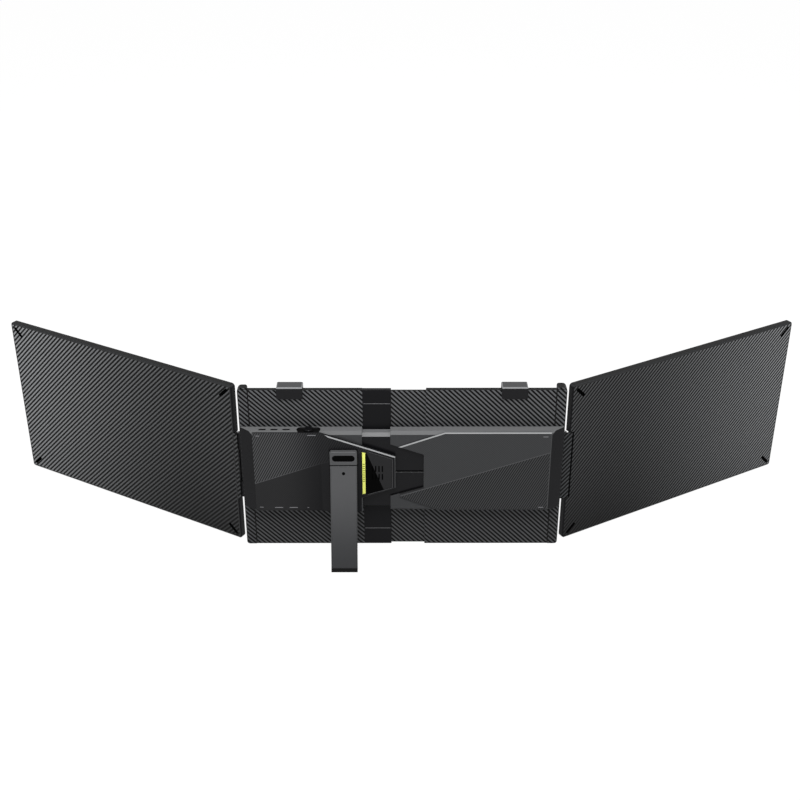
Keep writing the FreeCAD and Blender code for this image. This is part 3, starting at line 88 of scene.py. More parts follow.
class Sketch:
    """Adds and joins the nodes of one node tree."""

    def __init__(self, tree: bpy.types.NodeTree) -> None:
        """Starts on an empty tree.

        Args:
            tree: The node tree to fill.
        """
        self.tree = tree
        self.count = 0

    def add(self, kind: str, **settings: object) -> bpy.types.Node:
        """Adds a node and sets its properties.

        Args:
            kind: The node's type name.
            **settings: Properties to set on the node.

        Returns:
            The new node.
        """
        node = self.tree.nodes.new(kind)
        node.location = (220 * (self.count % 12), -260 * (self.count // 12))
        self.count += 1
        for name, value in settings.items():
            setattr(node, name, value)
        return node

    def feed(self, socket: Socket, value: object) -> None:
        """Links a socket to another, or sets it to a plain value.

        Args:
            socket: The input to fill.
            value: A socket, a plain value, or nothing to leave the input as it is.
        """
        if isinstance(value, bpy.types.NodeSocket):
            self.tree.links.new(value, socket)
        elif value is not None:
            socket.default_value = value

    def math(self, operation: str, first: object, second: object = None,
             clamp: bool = False) -> Socket:
        """Adds a Math node.

        Args:
            operation: The Math node's operation.
            first: Its first value or socket.
            second: Its second value or socket, if it has one.
            clamp: Whether the result stays between 0 and 1.

        Returns:
            The node's output.
        """
        node = self.add("ShaderNodeMath", operation=operation, use_clamp=clamp)
        self.feed(node.inputs[0], first)
        if second is not None:
            self.feed(node.inputs[1], second)
        return node.outputs[0]

    def invert(self, value: Socket) -> Socket:
        """Adds 1 minus a value."""
        return self.math("SUBTRACT", 1.0, value)

    def smooth(self, value: object, low: object, high: object) -> Socket:
        """Adds a smooth step.

        Args:
            value: The value to step.
            low: Where the result is 0.
            high: Where the result is 1.

        Returns:
            The node's output.
        """
        node = self.add("ShaderNodeMapRange", interpolation_type="SMOOTHSTEP")
        self.feed(node.inputs["Value"], value)
        self.feed(node.inputs["From Min"], low)
        self.feed(node.inputs["From Max"], high)
        return node.outputs[0]

    def spread(self, value: object, low: object, high: object) -> Socket:
        """Adds a straight map of 0 to 1 onto another range.

        Args:
            value: The value to map.
            low: The result at 0.
            high: The result at 1.

        Returns:
            The node's output.
        """
        node = self.add("ShaderNodeMapRange", interpolation_type="LINEAR")
        self.feed(node.inputs["Value"], value)
        self.feed(node.inputs["To Min"], low)
        self.feed(node.inputs["To Max"], high)
        return node.outputs[0]

    def blend(self, factor: object, first: object, second: object) -> Socket:
        """Adds a mix of two colours.

        Args:
            factor: The share of the second colour.
            first: The colour at 0.
            second: The colour at 1.

        Returns:
            The mixed colour.
        """
        node = self.add("ShaderNodeMix", data_type="RGBA")
        self.feed(node.inputs["Factor"], factor)
        self.feed(node.inputs["A"], first)
        self.feed(node.inputs["B"], second)
        return node.outputs["Result"]

    def noise(self, place: Socket, scale: object, detail: float) -> Socket:
        """Adds a noise texture.

        Args:
            place: Where the texture is read.
            scale: Its scale, in turns to the metre.
            detail: Its number of finer layers.

        Returns:
            The texture's value.
        """
        node = self.add("ShaderNodeTexNoise")
        self.feed(node.inputs["Vector"], place)
        self.feed(node.inputs["Scale"], scale)
        node.inputs["Detail"].default_value = detail
        return node.outputs[0]

    def axes(self, vector: Socket) -> tuple[Socket, Socket, Socket]:
        """Splits a vector.

        Args:
            vector: The vector to split.

        Returns:
            Its x, y and z.
        """
        node = self.add("ShaderNodeSeparateXYZ")
        self.feed(node.inputs[0], vector)
        return node.outputs[0], node.outputs[1], node.outputs[2]

    def group(self, tree: bpy.types.NodeTree, **values: object) -> bpy.types.Node:
        """Places a node group and sets its inputs.

        Args:
            tree: The group.
            **values: Values or sockets by input name, with _ for a space.

        Returns:
            The group's node.
        """
        node = self.add("ShaderNodeGroup", node_tree=tree)
        for name, value in values.items():
            self.feed(node.inputs[name.replace("_", " ")], value)
        return node


def new_group(name: str, inputs: Sequence[tuple[str, str, object]],
              outputs: Sequence[tuple[str, str]]) -> tuple[Sketch, bpy.types.Node, bpy.types.Node]:
    """Makes an empty shader group.

    Args:
        name: The group's name.
        inputs: Name, socket kind and first value of each input.
        outputs: Name and socket kind of each output.

    Returns:
        A sketch on the group, its input node and its output node.
    """
    tree = bpy.data.node_groups.new(name, "ShaderNodeTree")
    for label, kind, value in inputs:
        socket = tree.interface.new_socket(label, in_out="INPUT", socket_type=kind)
        if value is not None:
            socket.default_value = value
    for label, kind in outputs:
        tree.interface.new_socket(label, in_out="OUTPUT", socket_type=kind)
    sketch = Sketch(tree)
    return sketch, sketch.add("NodeGroupInput"), sketch.add("NodeGroupOutput")


FLOAT = "NodeSocketFloat"
VECTOR = "NodeSocketVector"

# Scale and detail of the noises in the shared groups

THREAD_NOISE = (900.0, 1.0)
TONE_NOISE = (14.0, 3.0)
PATCH_NOISE = (22.0, 4.0)
GRAIN_DETAIL = 2.0

# Where the masks of the shared groups step from 0 to 1

BACK_STEP: Span = (0.94, 0.98)
TOP_STEP: Span = (0.86, 0.93)
RISING_STEP: Span = (0.35, 0.5)
END_STEP: Span = (0.3, 0.6)
LINE_STEP: Span = (0.3, 0.7)
ABOVE_REACH = 0.25

EDGE_SAMPLES = 4


def stripe_group() -> bpy.types.NodeTree:
    """Builds the diagonal stripes of the carbon pattern.

    Returns:
        A group that gives a stripe mask and the tone of each thread.
    """
    sketch, given, result = new_group(
        "carbon_stripes",
        [("Place", VECTOR, None), ("Period", FLOAT, 0.0067), ("Lean", FLOAT, 1.0),
         ("Share", FLOAT, 0.5), ("Softness", FLOAT, 0.12)],
        [("Mask", FLOAT), ("Thread", FLOAT)])
    along, _, up = sketch.axes(given.outputs["Place"])
    slanted = sketch.math("ADD", along, sketch.math("MULTIPLY", up, given.outputs["Lean"]))
    turns = sketch.math("DIVIDE", slanted, given.outputs["Period"])
    saw = sketch.math("FRACT", turns)
    wave = sketch.math("ABSOLUTE", sketch.math("SUBTRACT", saw, 0.5))
    half = sketch.math("MULTIPLY", given.outputs["Share"], 0.5)
    low = sketch.math("SUBTRACT", half, given.outputs["Softness"])
    high = sketch.math("ADD", half, given.outputs["Softness"])
    sketch.feed(result.inputs["Mask"], sketch.invert(sketch.smooth(wave, low, high)))
    sketch.feed(result.inputs["Thread"], sketch.noise(given.outputs["Place"], *THREAD_NOISE))
    return sketch.tree


def grain_group() -> bpy.types.NodeTree:
    """Builds the fine sparkle of moulded and painted surfaces.

    Returns:
        A group that gives a height and a slow change of tone.
    """
    sketch, given, result = new_group(
        "moulded_grain",
        [("Place", VECTOR, None), ("Grain", FLOAT, 2600.0), ("Depth", FLOAT, 1.0)],
        [("Height", FLOAT), ("Tone", FLOAT)])
    fine = sketch.noise(given.outputs["Place"], given.outputs["Grain"], GRAIN_DETAIL)
    sketch.feed(result.inputs["Height"], sketch.math("MULTIPLY", fine, given.outputs["Depth"]))
    sketch.feed(result.inputs["Tone"], sketch.noise(given.outputs["Place"], *TONE_NOISE))
    return sketch.tree


def smudge_group() -> bpy.types.NodeTree:
    """Builds the faint change of shine that handling leaves.

    Returns:
        A group that gives a roughness around a middle value.
    """
    sketch, given, result = new_group(
        "handling_shine",
        [("Place", VECTOR, None), ("Roughness", FLOAT, 0.4), ("Amount", FLOAT, 0.08)],
        [("Roughness", FLOAT)])
    patches = sketch.noise(given.outputs["Place"], *PATCH_NOISE)
    centred = sketch.math("SUBTRACT", patches, 0.5)
    change = sketch.math("MULTIPLY", centred, sketch.math("MULTIPLY", given.outputs["Amount"], 2.0))
    sketch.feed(result.inputs["Roughness"],
                sketch.math("ADD", given.outputs["Roughness"], change, clamp=True))
    return sketch.tree


def line_group() -> bpy.types.NodeTree:
    """Builds a straight dividing line across the back.

    Returns:
        A group that gives what lies above the line and the line itself.
    """
    sketch, given, result = new_group(
        "dividing_line",
        [("Place", VECTOR, None), ("Start X", FLOAT, 0.0), ("Start Z", FLOAT, 0.0),
         ("Slope", FLOAT, 0.3), ("Width", FLOAT, 0.0008)],
        [("Above", FLOAT), ("Line", FLOAT)])
    along, _, up = sketch.axes(given.outputs["Place"])
    run = sketch.math("SUBTRACT", along, given.outputs["Start X"])
    level = sketch.math("ADD", sketch.math("MULTIPLY", run, given.outputs["Slope"]),
                        given.outputs["Start Z"])
    height = sketch.math("SUBTRACT", up, level)
    width = given.outputs["Width"]
    below = sketch.math("MULTIPLY", width, -ABOVE_REACH)
    above = sketch.math("MULTIPLY", width, ABOVE_REACH)
    sketch.feed(result.inputs["Above"], sketch.smooth(height, below, above))
    distance = sketch.math("ABSOLUTE", height)
    near, far = (sketch.math("MULTIPLY", width, share) for share in LINE_STEP)
    sketch.feed(result.inputs["Line"], sketch.invert(sketch.smooth(distance, near, far)))
    return sketch.tree


def edge_group() -> bpy.types.NodeTree:
    """Builds the softly worn edges that catch the light.

    Returns:
        A group that gives a normal rounded at every edge.
    """
    sketch, given, result = new_group(
        "softened_edges",
        [("Radius", FLOAT, 0.0004), ("Height", FLOAT, 0.0), ("Depth", FLOAT, 0.00001)],
        [("Normal", VECTOR)])
    rounded = sketch.add("ShaderNodeBevel", samples=EDGE_SAMPLES)
    sketch.feed(rounded.inputs["Radius"], given.outputs["Radius"])
    relief = sketch.add("ShaderNodeBump")
    sketch.feed(relief.inputs["Distance"], given.outputs["Depth"])
    sketch.feed(relief.inputs["Height"], given.outputs["Height"])
    sketch.feed(relief.inputs["Normal"], rounded.outputs[0])
    sketch.feed(result.inputs["Normal"], relief.outputs[0])
    return sketch.tree


def fade_group() -> bpy.types.NodeTree:
    """Builds a fade of painted shade from one place to another.

    Returns:
        A group that gives a factor across and one down, each 0 at its start and 1 at its end.
    """
    sketch, given, result = new_group(
        "tone_fade",
        [("Place", VECTOR, None), ("Start X", FLOAT, 0.0), ("End X", FLOAT, 0.1),
         ("Start Z", FLOAT, 0.2), ("End Z", FLOAT, 0.0)],
        [("Across", FLOAT), ("Down", FLOAT)])
    along, _, up = sketch.axes(given.outputs["Place"])
    sketch.feed(result.inputs["Across"],
                sketch.smooth(along, given.outputs["Start X"], given.outputs["End X"]))
    sketch.feed(result.inputs["Down"],
                sketch.smooth(up, given.outputs["Start Z"], given.outputs["End Z"]))
    return sketch.tree


def facing_group() -> bpy.types.NodeTree:
    """Builds the masks that tell flat backs, tops, upper bevels and ends apart.

    Returns:
        A group that gives the share of back, top, upper bevel and end in a face's normal.
    """
    # The Top, Bevel and End masks place the painted highlights and shade of the finishes.
    sketch, given, result = new_group(
        "face_directions", [("Facing", VECTOR, None)],
        [("Back", FLOAT), ("Top", FLOAT), ("Bevel", FLOAT), ("End", FLOAT)])
    sideways, back, up = sketch.axes(given.outputs["Facing"])
    sketch.feed(result.inputs["Back"],
                sketch.smooth(sketch.math("ABSOLUTE", back), *BACK_STEP))
    top = sketch.smooth(up, *TOP_STEP)
    sketch.feed(result.inputs["Top"], top)
    rising = sketch.smooth(up, *RISING_STEP)
    sketch.feed(result.inputs["Bevel"], sketch.math("SUBTRACT", rising, top, clamp=True))
    sketch.feed(result.inputs["End"],
                sketch.smooth(sketch.math("ABSOLUTE", sideways), *END_STEP))
    return sketch.tree


def seam_group() -> bpy.types.NodeTree:
    """Builds a pair of upright seams, one each side of the middle.

    Returns:
        A group that gives 1 on the seams and 0 elsewhere.
    """
    sketch, given, result = new_group(
        "upright_seams",
        [("Place", VECTOR, None), ("Reach", FLOAT, 0.1833), ("Width", FLOAT, 0.0014)],
        [("Mask", FLOAT)])
    along, _, _ = sketch.axes(given.outputs["Place"])
    distance = sketch.math("SUBTRACT", sketch.math("ABSOLUTE", along), given.outputs["Reach"])
    away = sketch.math("DIVIDE", sketch.math("ABSOLUTE", distance), given.outputs["Width"])
    sketch.feed(result.inputs["Mask"], sketch.invert(sketch.smooth(away, *LINE_STEP)))
    return sketch.tree


@dataclass
class ShaderKit:
    """The shader groups that the finishes share."""

    directions: bpy.types.NodeTree = field(default_factory=facing_group)
    seams: bpy.types.NodeTree = field(default_factory=seam_group)
    stripes: bpy.types.NodeTree = field(default_factory=stripe_group)
    edges: bpy.types.NodeTree = field(default_factory=edge_group)
    fade: bpy.types.NodeTree = field(default_factory=fade_group)
    grain: bpy.types.NodeTree = field(default_factory=grain_group)
    shine: bpy.types.NodeTree = field(default_factory=smudge_group)
    divider: bpy.types.NodeTree = field(default_factory=line_group)


class Paint:
    """A material being built round one Principled shader."""

    def __init__(self, name: str, kit: ShaderKit, turn: float = 0.0) -> None:
        """Starts a material.

        Args:
            name: The material's name.
            kit: The shared shader groups.
            turn: Degrees about Z that bring the piece's length onto the X axis.
        """
        self.kit = kit
        self.material = bpy.data.materials.new(name)
        self.material.use_nodes = True
        self.material.node_tree.nodes.clear()
        self.sketch = Sketch(self.material.node_tree)
        output = self.sketch.add("ShaderNodeOutputMaterial")
        self.shader = self.sketch.add("ShaderNodeBsdfPrincipled")
        self.sketch.feed(output.inputs["Surface"], self.shader.outputs[0])
        coordinates = self.sketch.add("ShaderNodeTexCoord")
        self.place = self.turned(coordinates.outputs["Object"], "POINT", turn)
        self.facing = self.turned(coordinates.outputs["Normal"], "NORMAL", turn)
        self.directions: bpy.types.Node | None = None

    def turned(self, vector: Socket, kind: str, turn: float) -> Socket:
        """Turns a vector about Z.

        Args:
            vector: The vector to turn.
            kind: The Mapping node's vector type.
            turn: Degrees.

        Returns:
            The turned vector.
        """
        mapping = self.sketch.add("ShaderNodeMapping", vector_type=kind)
        mapping.inputs["Rotation"].default_value = (0.0, 0.0, math.radians(turn))
        self.sketch.feed(mapping.inputs["Vector"], vector)
        return mapping.outputs[0]

    def side(self, name: str) -> Socket:
        """Gives the mask of the faces turned to one side.

        Args:
            name: Back, Top, Bevel or End.

        Returns:
            The mask's socket.
        """
        if self.directions is None:
            self.directions = self.sketch.group(self.kit.directions, Facing=self.facing)
        return self.directions.outputs[name]

    def sided(self, base: object, colours: dict[str, Colour | None]) -> Socket:
        """Lays colours over the faces turned to some sides.

        Args:
            base: The colour everywhere else.
            colours: A colour by side, or none to leave that side as it is.

        Returns:
            The whole colour.
        """
        for side, colour in colours.items():
            if colour is not None:
                base = self.sketch.blend(self.side(side), base, opaque(colour))
        return base

    def divider(self, start: Point, slope: float) -> bpy.types.Node:
        """Places the slanting line by the x and z of its start and its slope."""
        return self.sketch.group(self.kit.divider, Place=self.place, Start_X=start[0],
                                 Start_Z=start[1], Slope=slope)

    def fade(self, across: Span, down: Span = NO_FADE) -> bpy.types.Node:
        """Places the painted shade fades by where each starts and ends, in x and in z."""
        return self.sketch.group(self.kit.fade, Place=self.place, Start_X=across[0],
                                 End_X=across[1], Start_Z=down[0], End_Z=down[1])

    def toned(self, colour: Colour, spread: float, tone: Socket) -> Socket:
        """Varies a colour a little by a slow tone.

        Args:
            colour: The middle colour.
            spread: How far it goes each way, as a share of itself.
            tone: The tone, from 0 to 1.

        Returns:
            The varied colour.
        """
        return self.sketch.blend(tone, opaque(colour, 1.0 - spread), opaque(colour, 1.0 + spread))

    def colour(self, value: Socket) -> None:
        """Sets the base colour."""
        self.sketch.feed(self.shader.inputs["Base Color"], value)

    def shine(self, roughness: float, amount: float) -> None:
        """Gives the roughness its handling marks."""
        node = self.sketch.group(self.kit.shine, Place=self.place, Roughness=roughness,
                                 Amount=amount)
        self.sketch.feed(self.shader.inputs["Roughness"], node.outputs["Roughness"])

    def relief(self, height: Socket, depth: float, radius: float = 0.4 * MM) -> None:
        """Raises the surface by a height map and rounds its edges.

        Args:
            height: The height map.
            depth: How far a height of 1 stands out, in metres.
            radius: Radius of the rounded edges.
        """
        node = self.sketch.group(self.kit.edges, Radius=radius, Height=height, Depth=depth)
        self.sketch.feed(self.shader.inputs["Normal"], node.outputs["Normal"])

    def gloss(self, specular: float) -> None:
        """Sets how strongly the surface mirrors its surroundings."""
        self.shader.inputs["Specular IOR Level"].default_value = specular


@dataclass(frozen=True)
class MouldedPlastic:
    """Plain moulded or painted surface with a fine grain, with optional painted highlights on tops
    and bevels and painted shade on ends, on a sunk tray floor and towards the bottom.
    """

    name: str
    colour: Colour
    roughness: float = 0.42
    depth: float = 0.012 * MM
    variation: float = 0.06
    specular: float = 0.12
    smudge: float = 0.05
    radius: float = 0.4 * MM
    # Painted light by face direction: shade on ends, highlights on tops and upper bevels.
    end_colour: Colour | None = None
    top_colour: Colour | None = None
    bevel_colour: Colour | None = None
    # Painted shade on up-facing faces sunk below the tray level.
    tray_level: float | None = None
    tray_colour: Colour = (0.006, 0.006, 0.006)
    tray_blur: float = 0.2 * MM
    # Painted shade, darker towards the bottom.
    low_colour: Colour | None = None
    low_span: Span = (0.12, 0.0)

    def build(self, kit: ShaderKit) -> bpy.types.Material:
        """Makes the material."""
        paint = Paint(self.name, kit)
        sketch = paint.sketch
        grain = sketch.group(kit.grain, Place=paint.place)
        tone = paint.toned(self.colour, self.variation, grain.outputs["Tone"])
        # Painted shade towards the bottom.
        if self.low_colour is not None:
            falls = paint.fade(NO_FADE, self.low_span)
            tone = sketch.blend(falls.outputs["Down"], tone, opaque(self.low_colour))
        # Painted highlights on bevels and tops, painted shade on ends.
        tone = paint.sided(tone, {"Bevel": self.bevel_colour, "Top": self.top_colour,
                                  "End": self.end_colour})
        # Painted shade on the floor of the sunk tray.
        if self.tray_level is not None:
            _, _, up = sketch.axes(paint.place)
            sunk = sketch.smooth(up, self.tray_level + self.tray_blur,
                                 self.tray_level - self.tray_blur)
            tray = sketch.math("MULTIPLY", sunk, paint.side("Top"))
            tone = sketch.blend(tray, tone, opaque(self.tray_colour))
        paint.colour(tone)
        paint.shine(self.roughness, self.smudge)
        paint.relief(grain.outputs["Height"], self.depth, self.radius)
        paint.gloss(self.specular)
        return paint.material


@dataclass(frozen=True)
class CarbonShell:
    """Casing with diagonal carbon stripes on its flat back and a plain rounded rim, with a painted
    shade fade over the stripes, painted highlights on upper bevels and painted shade on top faces.
    """

    name: str
    lean: Lean
    light: Colour
    turn: float = 0.0
    dark: Colour = (0.003, 0.003, 0.003)
    rim: Colour = (0.009, 0.009, 0.010)
    # bevel: painted highlight on upper bevels; top: painted shade on top faces, and also the colour
    # of the dark seams.
    bevel: Colour = (0.026, 0.027, 0.028)
    top: Colour = (0.006, 0.006, 0.006)
    variation: float = 0.08
    seam: float = 0.1829
    # Painted shade: the fade darkens the light stripes across x and down z.
    fade_x: Span = NO_FADE
    fade_z: Span = NO_FADE
    fade_depth: float = 0.0
    period: float = 6.1 * MM
    share: float = 0.46
    softness: float = 0.05
    thread_tones: Span = (0.90, 1.10)
    roughness: float = 0.42
    smudge: float = 0.06
    specular: float = 0.06
    depth: float = 0.03 * MM
    grain_share: float = 0.25
    radius: float = 0.6 * MM

    def build(self, kit: ShaderKit) -> bpy.types.Material:
        """Makes the material."""
        paint = Paint(self.name, kit, self.turn)
        sketch = paint.sketch
        stripes = sketch.group(kit.stripes, Place=paint.place, Period=self.period,
                               Lean=self.lean.value, Share=self.share, Softness=self.softness)
        grain = sketch.group(kit.grain, Place=paint.place)
        thread = sketch.spread(stripes.outputs["Thread"], *self.thread_tones)
        # Painted shade: the fades dim the light stripes.
        falls = paint.fade(self.fade_x, self.fade_z)
        fall = sketch.math("ADD", falls.outputs["Across"], falls.outputs["Down"])
        left = sketch.invert(sketch.math("MULTIPLY", fall, self.fade_depth))
        light = sketch.add("ShaderNodeVectorMath", operation="SCALE")
        light.inputs[0].default_value = self.light
        sketch.feed(light.inputs["Scale"], sketch.math("MULTIPLY", thread, left))
        striped = sketch.blend(stripes.outputs["Mask"], opaque(self.dark), light.outputs[0])
        rim = paint.toned(self.rim, self.variation, grain.outputs["Tone"])
        # Painted highlight on upper bevels and painted shade on top faces.
        rim = paint.sided(rim, {"Bevel": self.bevel, "Top": self.top})
        flat = paint.side("Back")
        seams = sketch.group(kit.seams, Place=paint.place, Reach=self.seam)
        paint.colour(sketch.blend(seams.outputs["Mask"], sketch.blend(flat, rim, striped),
                                  opaque(self.top)))
        paint.shine(self.roughness, self.smudge)
        ridge = sketch.math("MULTIPLY", stripes.outputs["Mask"], flat)
        fine = sketch.math("MULTIPLY", grain.outputs["Height"], self.grain_share)
        paint.relief(sketch.math("ADD", ridge, fine), self.depth, self.radius)
        paint.gloss(self.specular)
        return paint.material


@dataclass(frozen=True)
class TwoToneCover:
    """Cover plate with fine ribs on one side of a slanting line and a faint weave on the other,
    with a painted highlight on upper bevels, painted light on its ends and a painted shadow fade.
    """

    name: str
    plain: Colour
    ribbed: Colour
    line_start: Point
    line_slope: float
    ribs_above: bool
    rib_period: float = 2.9 * MM
    rib_lean: float = -0.52
    rib_softness: float = 0.1
    rib_shade: float = 0.12
    weave_lean: float = 1.04
    weave_softness: float = 0.2
    weave_shade: float = 0.72
    variation: float = 0.05
    # bevel: painted highlight on upper bevels above bevel_levels in height; end: painted light,
    # ends lighter than the other edges.
    bevel: Colour = (0.33, 0.335, 0.34)
    bevel_levels: Span = (0.120, 0.130)
    edge: Colour = (0.012, 0.012, 0.013)
    end: Colour = (0.052, 0.053, 0.055)
    line: Colour = (0.105, 0.106, 0.110)
    line_share: float = 0.7
    shadow: Colour = (0.004, 0.004, 0.005)
    fade_x: Span = NO_FADE
    fade_depth: float = 0.0
    roughness: float = 0.44
    smudge: float = 0.05
    specular: float = 0.1
    depth: float = 0.02 * MM
    grain_share: float = 0.4
    radius: float = 0.3 * MM

    def build(self, kit: ShaderKit) -> bpy.types.Material:
        """Makes the material."""
        paint = Paint(self.name, kit)
        sketch = paint.sketch
        divider = paint.divider(self.line_start, self.line_slope)
        grain = sketch.group(kit.grain, Place=paint.place)
        ribs, weave = (
            sketch.group(kit.stripes, Place=paint.place, Period=self.rib_period, Lean=lean,
                         Softness=softness)
            for lean, softness in ((self.rib_lean, self.rib_softness),
                                   (self.weave_lean, self.weave_softness)))
        share = divider.outputs["Above"]
        if not self.ribs_above:
            share = sketch.invert(share)
        ribbed = sketch.blend(ribs.outputs["Mask"], opaque(self.ribbed, self.rib_shade),
                              opaque(self.ribbed))
        plain = paint.toned(self.plain, self.variation, grain.outputs["Tone"])
        woven = sketch.blend(weave.outputs["Mask"], opaque(self.plain, self.weave_shade), plain)
        line = sketch.math("MULTIPLY", divider.outputs["Line"], self.line_share)
        lined = sketch.blend(line, sketch.blend(share, woven, ribbed), opaque(self.line))
        # Painted shadow: the cover fades towards the shadow colour across x.
        fall = sketch.math("MULTIPLY", paint.fade(self.fade_x).outputs["Across"],
                           self.fade_depth)
        faded = sketch.blend(fall, lined, opaque(self.shadow))
        # Painted highlight on upper bevels and painted light on the ends.
        _, _, up = sketch.axes(paint.place)
        lit = sketch.math("MULTIPLY", paint.side("Bevel"), sketch.smooth(up, *self.bevel_levels))
        ended = paint.sided(opaque(self.edge), {"End": self.end})
        rim = sketch.blend(lit, ended, opaque(self.bevel))
        paint.colour(sketch.blend(paint.side("Back"), rim, faded))
        paint.shine(self.roughness, self.smudge)
        ridge = sketch.math("MULTIPLY", ribs.outputs["Mask"], share)
        fine = sketch.math("MULTIPLY", grain.outputs["Height"], self.grain_share)
        paint.relief(sketch.math("ADD", ridge, fine), self.depth, self.radius)
        paint.gloss(self.specular)
        return paint.material


@dataclass(frozen=True)
class GlossWindow:
    """Glossy inlay split by a slanting edge into a black field and a dark grey field of painted
    reflection.
    """

    name: str
    line_start: Point
    line_slope: float
    dark: Colour = (0.001, 0.001, 0.001)
    # light: painted reflection, the dark grey field beside the slanting edge.
    light: Colour = (0.024, 0.024, 0.025)
    roughness: float = 0.12
    smudge: float = 0.03
    specular: float = 0.02

    def build(self, kit: ShaderKit) -> bpy.types.Material:
        """Makes the material."""
        paint = Paint(self.name, kit)
        divider = paint.divider(self.line_start, self.line_slope)
        paint.colour(paint.sketch.blend(divider.outputs["Above"], opaque(self.dark),
                                        opaque(self.light)))
        paint.shine(self.roughness, self.smudge)
        paint.gloss(self.specular)
        return paint.material


@dataclass(frozen=True)
class BrushedMetal:
    """Steel with fine straight brushing."""

    name: str
    colour: Colour = (0.32, 0.32, 0.33)
    roughness: float = 0.34
    smudge: float = 0.08
    metallic: float = 1.0
    variation: float = 0.12
    depth: float = 0.01 * MM
    stretch: float = 0.05
    brushing: tuple[float, float] = (3200.0, 2.0)

    def build(self, kit: ShaderKit) -> bpy.types.Material:
        """Makes the material."""
        paint = Paint(self.name, kit)
        sketch = paint.sketch
        stretched = sketch.add("ShaderNodeMapping")
        stretched.inputs["Scale"].default_value = (1.0, 1.0, self.stretch)
        sketch.feed(stretched.inputs["Vector"], paint.place)
        brush = sketch.noise(stretched.outputs[0], *self.brushing)
        paint.colour(paint.toned(self.colour, self.variation, brush))
        paint.shine(self.roughness, self.smudge)
        paint.relief(brush, self.depth)
        paint.shader.inputs["Metallic"].default_value = self.metallic
        return paint.material


@dataclass(frozen=True)
class CircuitBoard:
    """Green board with faint tracks."""

    name: str
    colour: Colour = (0.01, 0.09, 0.045)
    track_scale: float = 420.0
    track_light: float = 1.8
    roughness: float = 0.35
    smudge: float = 0.05

    def build(self, kit: ShaderKit) -> bpy.types.Material:
        """Makes the material."""
        paint = Paint(self.name, kit)
        sketch = paint.sketch
        tracks = sketch.add("ShaderNodeTexVoronoi", distance="MANHATTAN")
        sketch.feed(tracks.inputs["Vector"], paint.place)
        tracks.inputs["Scale"].default_value = self.track_scale
        paint.colour(sketch.blend(tracks.outputs["Distance"], opaque(self.colour),
                                  opaque(self.colour, self.track_light)))
        paint.shine(self.roughness, self.smudge)
        return paint.material


@dataclass(frozen=True)
class DisplayGlass:
    """Switched-off display behind a smooth cover."""

    name: str
    colour: Colour = (0.004, 0.004, 0.005)
    grain: float = 9000.0
    variation: float = 0.1
    roughness: float = 0.16
    smudge: float = 0.03
    specular: float = 0.4
    depth: float = 0.002 * MM

    def build(self, kit: ShaderKit) -> bpy.types.Material:
        """Makes the material."""
        paint = Paint(self.name, kit)
        grain = paint.sketch.group(kit.grain, Place=paint.place, Grain=self.grain)
        paint.colour(paint.toned(self.colour, self.variation, grain.outputs["Tone"]))
        paint.shine(self.roughness, self.smudge)
        paint.relief(grain.outputs["Height"], self.depth)
        paint.gloss(self.specular)
        return paint.material


Finish = (MouldedPlastic | CarbonShell | TwoToneCover | GlossWindow | BrushedMetal | CircuitBoard
          | DisplayGlass)


# Mesh work

BEVEL_STEPS = 2


def clear_selection() -> None:
    """Leaves nothing selected."""
    bpy.ops.object.select_all(action="DESELECT")


def make_active(piece: bpy.types.Object) -> None:
    """Selects one object alone and makes it active."""
    clear_selection()
    piece.select_set(True)
    bpy.context.view_layer.objects.active = piece


@contextmanager
def shaping(piece: bpy.types.Object) -> Iterator[None]:
    """Opens one piece for mesh work, with all of its mesh selected."""
    make_active(piece)
    bpy.ops.object.mode_set(mode="EDIT")
    bpy.ops.mesh.select_all(action="SELECT")
    yield
    bpy.ops.object.mode_set(mode="OBJECT")


def rename(piece: bpy.types.Object, name: str) -> None:
    """Gives a piece and its mesh one name."""
    piece.name = name
    piece.data.name = name


def new_bar(name: str, low: Vector, high: Vector, bevel: float) -> bpy.types.Object:
    """Makes a bar between two corners, with bevelled edges.

    Args:
        name: The piece's name.
        low: Its lowest corner, in metres.
        high: Its highest corner.
        bevel: Width of the bevel round every edge.

    Returns:
        The new piece, placed in its mesh.
    """
    clear_selection()
    bpy.ops.mesh.primitive_cube_add(size=1.0, location=(0.0, 0.0, 0.0))
    piece = bpy.context.active_object
    rename(piece, name)
    with shaping(piece):
        bpy.ops.transform.resize(value=tuple(high - low))
        bpy.ops.transform.translate(value=tuple((low + high) / 2))
        bpy.ops.mesh.bevel(offset=bevel, segments=BEVEL_STEPS, affect="EDGES")
    return piece


